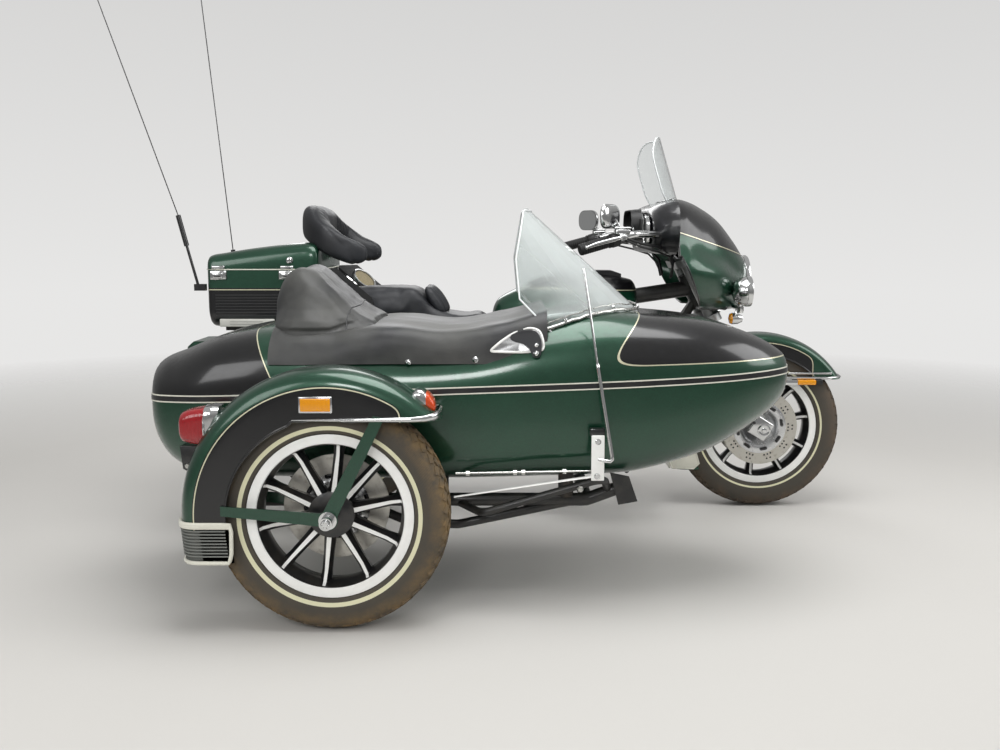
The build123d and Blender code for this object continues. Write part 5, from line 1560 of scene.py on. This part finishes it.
def screen_edge(rise):
    """Points where the screen's cone meets a level above the body, from right to left."""
    points = []
    for step in range(61):
        angle = radians(-118 + 236 * step / 60)
        direction = Vector((cos(angle), sin(angle), 0.0))
        for k in range(60):
            z = 0.76 + k * 0.0035
            share = (z - 0.76) / 0.24
            centre_x = 0.66 - 0.06 * share
            out_x, out_y = 0.43 - 0.205 * share, 0.265 - 0.06 * share
            point = Vector((centre_x + out_x * direction.x, SIDECAR_Y + out_y * direction.y, z))
            down = body_tree.ray_cast(Vector((point.x, point.y, 1.2)), Vector((0, 0, -1)))[0]
            if down is not None and point.z - down.z > rise:
                if point.x > 0.7:
                    points.append(point)
                break
    return points


base_line = screen_edge(0.004)
bm = bmesh.new()
tube_along(bm, base_line, 0.0055, sides=10)
tube_along(bm, [p + Vector((-0.004, 0.0, 0.016)) for p in base_line], 0.0018)
hand_over("screen_base_strip", bm, "chassis", [tired_chrome])
bm = bmesh.new()
for k in range(3, len(base_line) - 2, 8):
    outward = (base_line[k] - Vector((0.62, SIDECAR_Y, base_line[k].z))).normalized()
    turned(bm, base_line[k] + Vector((0, 0, 0.009)), outward,
        ((0.0, 0.0062), (0.0035, 0.0058), (0.0055, 0.0035), (0.006, 0.0)), 14)
hand_over("screen_screws", bm, "chassis", [chrome])

bm = bmesh.new()
for hand in (-1, 1):
    for x, z in ((0.335, 0.7085), (0.522, 0.716)):
        place, normal = side_hit(body_tree, x, z, hand)
        on_cover, cover_normal = side_hit(cover_tree, x, z, hand)
        if on_cover is not None and (on_cover.y - place.y) * hand > 0:
            place, normal = on_cover, cover_normal
        turned(bm, place, normal if normal.y * hand > 0 else -normal, STUD, 18)
hand_over("snap_studs", bm, "chassis", [chrome])

# %% Vent panel with its bright rim, and the folded flap
bm = bmesh.new()
for hand in (-1, 1):
    corner_points = []
    eased = even_outline(((0.56, 0.739), (0.592, 0.766), (0.63, 0.79), (0.672, 0.803),
        (0.701, 0.796), (0.71, 0.768), (0.712, 0.742), (0.65, 0.736)), 64, 4)
    for x, z in eased:
        place, _ = side_hit(body_tree, x, min(z, 0.752), hand)
        on_cover, _ = side_hit(cover_tree, x, z, hand)
        if on_cover is not None and (on_cover.y - place.y) * hand > 0:
            place = on_cover
        lean = max(0.0, z - 0.76) * 0.25
        corner_points.append(Vector((x, place.y + 0.0045 * hand - lean * hand, z)))
    centre_vert = bm.verts.new(sum(corner_points, Vector()) / len(corner_points))
    rim = [bm.verts.new(p) for p in corner_points]
    for a, b in zip(rim, rim[1:] + rim[:1]):
        bm.faces.new((centre_vert, a, b)).material_index = 1
    tube_along(bm, corner_points, 0.0036, closed=True)
hand_over("vent_panels", bm, "chassis", [machined, aluminium])

bm = bmesh.new()
for hand in (-1, 1):
    outline = even_outline(((0.606, 0.777), (0.65, 0.796), (0.69, 0.796), (0.704, 0.776),
        (0.706, 0.742), (0.699, 0.723), (0.681, 0.723), (0.673, 0.744), (0.655, 0.764),
        (0.625, 0.768)), 48, 2)
    points = []
    for x, z in outline:
        place, _ = side_hit(body_tree, x, min(z, 0.752), hand)
        bulge = 0.016 + 0.008 * sin((x - 0.61) / 0.09 * pi)
        points.append(Vector((x, place.y + bulge * hand - max(0.0, z - 0.76) * 0.25 * hand, z)))
    drawn_out(bm, points, (0, -0.011 * hand, 0))
    for x, z in ((0.69, 0.756), (0.69, 0.735)):
        nearest = min(points, key=lambda p: (p.x - x) ** 2 + (p.z - z) ** 2)
        turned(bm, (x, nearest.y + 0.001 * hand, z), (0, hand, 0), STUD, 18, slot=1)
hand_over("folded_corners", bm, "chassis", [seat_vinyl, chrome], sharp=60)

# %% [markdown]
# ## Width marker
# A tapered chrome rod, hooked to a bolted plate, lets the rider see how wide the sidecar is.

# %% Plate, bolts and rod
bm = bmesh.new()
block(bm, (0.842, -1.225, 0.384), (0.878, -1.219, 0.512), 0.0025, 2, 3)
for x, z, reach in ((0.86, 0.494, 0.0035), (0.858, 0.398, 0.0075)):
    turned(bm, (x, -1.2245, z), (0, -1, 0), ((0.0, 0.0085), (reach * 0.5, 0.0085), (reach, 0.006),
        (reach, 0.0)), 18, slot=0)
block(bm, (0.838, -1.222, 0.508), (0.88, -1.196, 0.53), 0.003, 1)
tube_along(bm, ((0.862, -1.227, 0.446), (0.872, -1.232, 0.4445), (0.884, -1.2365, 0.4425),
    (0.893, -1.2385, 0.442), (0.8985, -1.238, 0.447), (0.8975, -1.237, 0.456),
    (0.894, -1.2355, 0.48), (0.876, -1.225, 0.59), (0.858, -1.2125, 0.7)), 0.0052, sides=12)
tube_along(bm, [(0.8585, -1.2128, 0.696), (0.839, -1.1893, 0.832), (0.819, -1.1662, 0.967)], 0.0034,
    sides=10)
turned(bm, (0.858, -1.2125, 0.7), (-0.14, 0.16, 0.97),
    ((-0.006, 0.0054), (0.004, 0.006), (0.01, 0.0036)), 12)
hand_over("marker_rod_dressed", bm, "chassis", [chrome, black_enamel, machined],
    stand_for=["marker_rod"])

# %% [markdown]
# Blown sheet has thick edges, and the bright line along each of them is painted: the edges
# are beads of opaque near-white, a painted highlight, laid along the sheets' outlines, found
# from the cylinder and the cone that they are cut from.

# %% Edges of both windscreens, as beads of painted highlight
def on_bike_screen(y, height):
    """The bike screen's middle surface: a leaning cylinder that bulges forward."""
    bulge = 0.36 - (0.362**2 - y**2) ** 0.5
    up = (height - 1.186 + 0.2873 * bulge) / 0.9578
    return Vector((1.262 - 0.9578 * bulge - 0.2873 * up, y, height))


outline = even_outline(round_section(0.2185, 1.1215, 1.4185, 0.109), 160, 0)
shown = [on_bike_screen(p.x, p.y) for p in outline if p.y > 1.178]
start = max(range(len(shown)), key=lambda i: (shown[i] - shown[i - 1]).length)
bm = bmesh.new()
tube_along(bm, shown[start:] + shown[:start], 0.0026, sides=8)
hand_over("bike_screen_edge", bm, "steering", [edge_highlight_white], sharp=60)

SCREEN_SECTIONS = ((0.76, 0.66, 0.43, 0.265), (1.0, 0.6, 0.225, 0.205), (1.14, 0.565, 0.105, 0.17))
REAR_CUT = ((0.762, 0.76), (0.645, 0.88), (0.635, 0.99), (0.658, 1.128))


def screen_oval(z):
    """The sidecar screen's oval at a height: its centre along x, half length and half width."""
    low, high = SCREEN_SECTIONS[:2] if z < 1.0 else SCREEN_SECTIONS[1:]
    share = (z - low[0]) / (high[0] - low[0])
    return [a + (b - a) * share for a, b in zip(low[1:], high[1:])]


def screen_half_width(x, z):
    centre, length, width = screen_oval(z)
    return width * max(0.0, 1 - ((x - centre) / length) ** 2) ** 0.5


rear_edge = []
for (xa, za), (xb, zb) in zip(REAR_CUT, REAR_CUT[1:]):
    for k in range(12):
        x, z = xa + (xb - xa) * k / 12, za + (zb - za) * k / 12
        rear_edge.append((x, z, screen_half_width(x, z)))
top_x, top_z = REAR_CUT[-1]
top_width = screen_half_width(top_x, top_z)
rear_edge = [row for row in rear_edge if row[2] > 0] + [(top_x, top_z, top_width)]
arc_centre, arc_length, arc_width = screen_oval(top_z)
line = [(x, SIDECAR_Y - w, z) for x, z, w in rear_edge]
for k in range(1, 12):
    y = -top_width + 2 * top_width * k / 12
    line.append((arc_centre + arc_length * max(0.0, 1 - (y / arc_width) ** 2) ** 0.5, SIDECAR_Y + y,
        top_z + 0.001))
line += [(x, SIDECAR_Y + w, z) for x, z, w in reversed(rear_edge)]
# The sidecar screen's edge is a bead of painted highlight too.
bm = bmesh.new()
tube_along(bm, line, 0.0026)
hand_over("sidecar_screen_edge", bm, "chassis", [edge_highlight_white], sharp=60)
print("screen edge", len(line), "points")

# %% [markdown]
# ## Levers and reservoirs
# The levers are flat blades that end in a ball. They pivot in perches under the two fluid
# reservoirs, whose lids are held by a pair of screws.

# %% Levers, perches and reservoirs
bm = bmesh.new()
for hand in (-1, 1):
    block(bm, (0.985, 0.401 * hand, 1.058), (1.039, 0.445 * hand, 1.08), 0.007, 0, 4)
    block(bm, (0.983, 0.3995 * hand, 1.079), (1.041, 0.4465 * hand, 1.086), 0.003, 0, 3)
    for x in (0.992, 1.032):
        turned(bm, (x, 0.423 * hand, 1.0855), (0, 0, 1),
            ((0.0, 0.0042), (0.0018, 0.004), (0.0025, 0.0)), 14)
    turned(bm, (0.985, 0.423 * hand, 1.068), (-1, 0, 0),
        ((0.0, 0.0062), (0.0015, 0.006), (0.0015, 0.0)), 18, slot=1)
    block(bm, (0.998, 0.43 * hand, 1.042), (1.026, 0.466 * hand, 1.06), 0.006, 0, 3)
    turned(bm, (1.01, 0.456 * hand, 1.04), (0, 0, 1),
        ((0.0, 0.0), (0.0, 0.0075), (0.02, 0.0075), (0.022, 0.0)), 20)
    reach = [Vector(p) for p in ((1.018, 0.452 * hand, 1.052), (1.004, 0.463 * hand, 1.05),
        (0.985, 0.468 * hand, 1.045), (0.955, 0.472 * hand, 1.037), (0.92, 0.477 * hand, 1.028),
        (0.893, 0.482 * hand, 1.019), (0.884, 0.4835 * hand, 1.0165))]
    blade(bm, reach, ((0.01, 0.016), (0.011, 0.013), (0.014, 0.009), (0.015, 0.008), (0.014, 0.008),
        (0.011, 0.008), (0.007, 0.007)))
    bmesh.ops.create_icosphere(bm, subdivisions=3, radius=0.0062,
        matrix=Matrix.Translation(reach[-1]))
    inner, along = Vector((1.02, 0.412 * hand, 1.052)), Vector((-0.1, 0.03 * hand, -0.027))
    turned(bm, inner, along, ((0.0, 0.013), (0.0, 0.0195), (0.002, 0.021), (0.04, 0.021),
        (0.042, 0.0195), (0.042, 0.013)), 36, slot=2)
hand_over("hand_controls_dressed", bm, "steering", [chrome, lamp_glass, satin_black], sharp=45,
    stand_for=["hand_controls"])

# %% [markdown]
# ## Inner fairing
# The inner panel is a black moulding with rounded cheeks. A hood shades the round instruments,
# and cables drop from the bar into the gap behind the lamp.

# %% Inner panel, hood and cables
bm = bmesh.new()
hull(bm, ((1131, 258, 1008, 1138, 52), (1138, 300, 998, 1152, 74), (1154, 327, 993, 1165, 88),
    (1182, 350, 989, 1177, 98), (1208, 365, 987, 1184, 102), (1222, 371, 987, 1186, 104)), 0.0, 26,
    around=110, soften=3)
hand_over("inner_fairing_moulding", bm, "steering", [satin_black], sharp=60,
    stand_for=["fairing_inner"])
bm = bmesh.new()
HOOD_HALF, HOOD_HEIGHT = 0.136, 1.09
rings = []
for x, grow in ((1.132, 1.0), (1.11, 0.985), (1.092, 0.955)):
    section = even_outline(round_section(HOOD_HALF * grow, HOOD_HEIGHT - 0.055 * grow,
        HOOD_HEIGHT + 0.066 * grow, 0.05), 64, 2)
    rings.append([bm.verts.new((x - 0.012 * (p.y > HOOD_HEIGHT), p.x, p.y)) for p in section])
bridged(bm, rings)
bmesh.ops.recalc_face_normals(bm, faces=bm.faces)
bmesh.ops.solidify(bm, geom=bm.faces[:], thickness=0.004)
for hand in (-1, 1):
    block(bm, (1.108, 0.15 * hand - 0.02, 1.06), (1.134, 0.15 * hand + 0.02, 1.12), 0.006, 0, 3)
hand_over("instrument_hood", bm, "steering", [moulded_black], sharp=50)

bm = bmesh.new()
for hand, drop in ((-1, 0.0), (1, 0.006)):
    tube_along(bm, [(1.03, 0.418 * hand, 1.046), (1.085, 0.38 * hand, 1.03),
        (1.15, 0.32 * hand, 1.018 + drop), (1.205, 0.25 * hand, 0.998 + drop),
        (1.232, 0.17 * hand, 0.96), (1.236, 0.11 * hand, 0.905)], 0.0055, sides=10)
    tube_along(bm, [(1.025, 0.428 * hand, 1.04), (1.082, 0.395 * hand, 1.018),
        (1.145, 0.335 * hand, 1.002), (1.202, 0.262 * hand, 0.982), (1.228, 0.18 * hand, 0.945),
        (1.23, 0.12 * hand, 0.9)], 0.0038, sides=10)
hand_over("control_cables", bm, "steering", [moulded_black])

# %% [markdown]
# ## Trunk loudspeakers and side trim
# A loudspeaker in each pod fires forward past the passenger. Its grille is perforated sheet,
# faded to beige, inside a chromed ring.

# %% Speaker rings and grilles
FADED_BEIGE = "#8F8468"
speaker_mesh, mesh_tree, mesh_place = surface("faded_speaker_grille", FADED_BEIGE, Roughness=0.7)
holes = add_node(mesh_tree, "TexVoronoi", Scale=260.0, Vector=mesh_place, out="Distance")
pierced = add_node(mesh_tree, "MapRange", holes, 0.1, 0.34)
dress(mesh_tree, Base_Color=mixed(mesh_tree, pierced, "#2A2720", FADED_BEIGE))
bm = bmesh.new()
for hand in (-1, 1):
    centre, out = Vector((0.035, 0.205 * hand, 0.88)), Vector((0.6, -0.36 * hand, 0.71))
    turned(bm, centre, out, ((0.004, 0.0445), (0.0075, 0.0455), (0.0085, 0.049), (0.007, 0.053),
        (0.001, 0.0545), (0.0, 0.052)), 56, slot=0)
    turned(bm, centre, out, ((0.0035, 0.045), (0.006, 0.038), (0.008, 0.022), (0.0085, 0.0)), 48,
        slot=1)
hand_over("speaker_rings", bm, "chassis", [chrome, speaker_mesh])

# %% [markdown]
# ## Chassis details
# A bright-topped bar ties the plate of the width marker to the chassis, over a threaded rod
# with its nuts. A tilted chrome cover hides the front axle's nut.

# %% Tie bar, threaded rod and axle cover
bm = bmesh.new()
blade(bm, ((0.878, -1.2145, 0.3985), (0.8, -1.2145, 0.3875), (0.64, -1.213, 0.363),
    (0.462, -1.21, 0.335)), ((0.005, 0.02), (0.005, 0.02), (0.005, 0.018), (0.004, 0.014)), slot=1)
tube_along(bm, ((0.466, -1.19, 0.397), (0.65, -1.192, 0.401), (0.845, -1.196, 0.405)), 0.0032,
    sides=10)
for x in (0.5, 0.632, 0.655, 0.77):
    turned(bm, (x, -1.192, 0.4005 + (x - 0.65) * 0.02), (1, 0, 0),
        ((-0.005, 0.003), (-0.005, 0.0075), (0.005, 0.0075), (0.005, 0.003)), 6, slot=0)
turned(bm, (0.812, -1.222, 0.361), (0, -1, 0), ((0.0, 0.0095), (0.006, 0.0095), (0.009, 0.007),
    (0.0095, 0.0)), 6, slot=0)
hand_over("tie_bar_and_rod", bm, "chassis", [tired_chrome, machined], sharp=35)

bm = bmesh.new()
for hand in (-1, 1):
    face_y = 0.122 * hand
    block(bm, (1.55, face_y, 0.288), (1.626, face_y + 0.014 * hand, 0.364), 0.006, 0, 4,
        turn=Matrix.Rotation(radians(32), 3, "Y"), about=(1.588, face_y, 0.326))
    turned(bm, (1.6, face_y + 0.012 * hand, 0.318), (0, hand, 0),
        ((0.0, 0.026), (0.004, 0.025), (0.006, 0.02), (0.0045, 0.017), (0.0045, 0.01),
        (0.008, 0.008), (0.009, 0.0)), 36, slot=0)
    for dx, dz in ((-0.022, 0.018), (0.02, -0.02)):
        turned(bm, (1.588 + dx * 1.2, face_y + 0.0135 * hand, 0.326 + dz * 1.2), (0, hand, 0),
            ((0.0, 0.006), (0.002, 0.0058), (0.003, 0.0)), 14, slot=1)
hand_over("front_axle_covers", bm, "steering", [chrome, black_enamel], sharp=40)

# %% [markdown]
# ## The headrest's seam
# Vinyl panels are joined by a welt, a cord in a folded strip. It is dropped on the headrest from
# above, so it follows the folds that the stuffing left.

# %% A welt across the headrest's foot
WELT_X, WELT_HALF = 0.166, 0.234
soft = headrest.data
headrest_tree = BVHTree.FromPolygons([vert.co - ROW_OFFSET for vert in soft.vertices],
    [tuple(face.vertices) for face in soft.polygons])
bm = bmesh.new()
laid = []
for k in range(49):
    across = -WELT_HALF + 2 * WELT_HALF * k / 48
    start = Vector((WELT_X - 0.012 * (across / WELT_HALF) ** 2, SIDECAR_Y + across, 1.2))
    place = headrest_tree.ray_cast(start, Vector((0, 0, -1)))[0]
    if place is not None:
        laid.append(place + Vector((0.0, 0.0, 0.0006)))
tube_along(bm, laid, 0.0018)
print(len(laid), "points on the headrest's welt")
hand_over("headrest_welts", bm, "chassis", [thread], sharp=60)

# %% [markdown]
# ## Stage and light
# A pale floor and a pale sky stand for the studio. Broad lamps overhead and on every side fill
# the shadows, and a narrower one draws the highlight along the sidecar's belt.

# %% Floor, world and lamps
floor_mesh = bpy.data.meshes.new("floor")
bm = bmesh.new()
bmesh.ops.create_grid(bm, x_segments=1, y_segments=1, size=40.0)
bm.to_mesh(floor_mesh)
bm.free()
floor_paint, floor_tree, place = surface("pale_floor", "#C9C7C3", Roughness=0.6)
# Far from the machine the floor thins out to the pale background, so no horizon shows.
floor_shader = floor_tree.nodes["Principled BSDF"]
away = add_node(floor_tree, "VectorMath", place, operation="LENGTH", out="Value")
thin = add_node(floor_tree, "MapRange", away, 2.6, 6.5)
clear = add_node(floor_tree, "BsdfTransparent")
blend = add_node(floor_tree, "MixShader", thin, floor_shader.outputs[0], clear)
floor_tree.links.new(blend, floor_tree.nodes["Material Output"].inputs["Surface"])
floor_mesh.materials.append(floor_paint)
floor = bpy.data.objects.new("floor", floor_mesh)
floor.location.z = -0.0005
bpy.context.scene.collection.objects.link(floor)

world = bpy.data.worlds.new("studio")
bpy.context.scene.world = world
world.use_nodes = True
sky = world.node_tree
rays = add_node(sky, "LightPath").node.outputs
seen = calc(sky, "MAXIMUM", rays["Is Camera Ray"], rays["Is Transmission Ray"])
height = add_node(sky, "SeparateXYZ", add_node(sky, "TexCoord", out="Generated"))
fade = add_node(sky, "MapRange", height.node.outputs["Z"], -0.05, 0.75, 0.8, 0.42)
gloss = add_node(sky, "MapRange", height.node.outputs["Z"], 0.02, 0.45, 0.24, 0.46)
mirrored = add_node(sky, "Mix", rays["Is Glossy Ray"], 0.5, gloss, data_type="FLOAT")
ambient = add_node(sky, "Mix", seen, mirrored, fade, data_type="FLOAT")
background = sky.nodes["Background"]
background.inputs["Color"].default_value = (1.0, 0.995, 0.985, 1.0)
sky.links.new(ambient, background.inputs["Strength"])

# A lamp: its name, place, aim, size and power
LAMPS = (
    ("overhead", (0.9, -1.2, 3.4), (0.6, -0.7, 0.5), 2.2, 80.0),
    ("left_fill", (-2.4, -4.6, 2.6), (0.3, -0.8, 0.5), 2.2, 50.0),
    ("belt_light", (0.0, -4.8, 2.2), (0.5, -1.2, 0.6), 0.7, 26.0),
    ("front_fill", (4.6, -1.2, 2.6), (0.8, -0.4, 0.6), 2.2, 55.0),
    ("far_fill", (0.0, 4.2, 3.0), (0.4, 0.0, 0.6), 2.6, 60.0),
)
for name, place, aim, size, power in LAMPS:
    lamp_data = bpy.data.lights.new(name, "AREA")
    lamp_data.size = size
    lamp_data.energy = power
    lamp = bpy.data.objects.new(name, lamp_data)
    lamp.location = Vector(place) + ROW_OFFSET
    lamp.rotation_mode = "QUATERNION"
    lamp.rotation_quaternion = (Vector(aim) - Vector(place)).to_track_quat("-Z", "Y")
    bpy.context.scene.collection.objects.link(lamp)
print(len(LAMPS), "lamps")
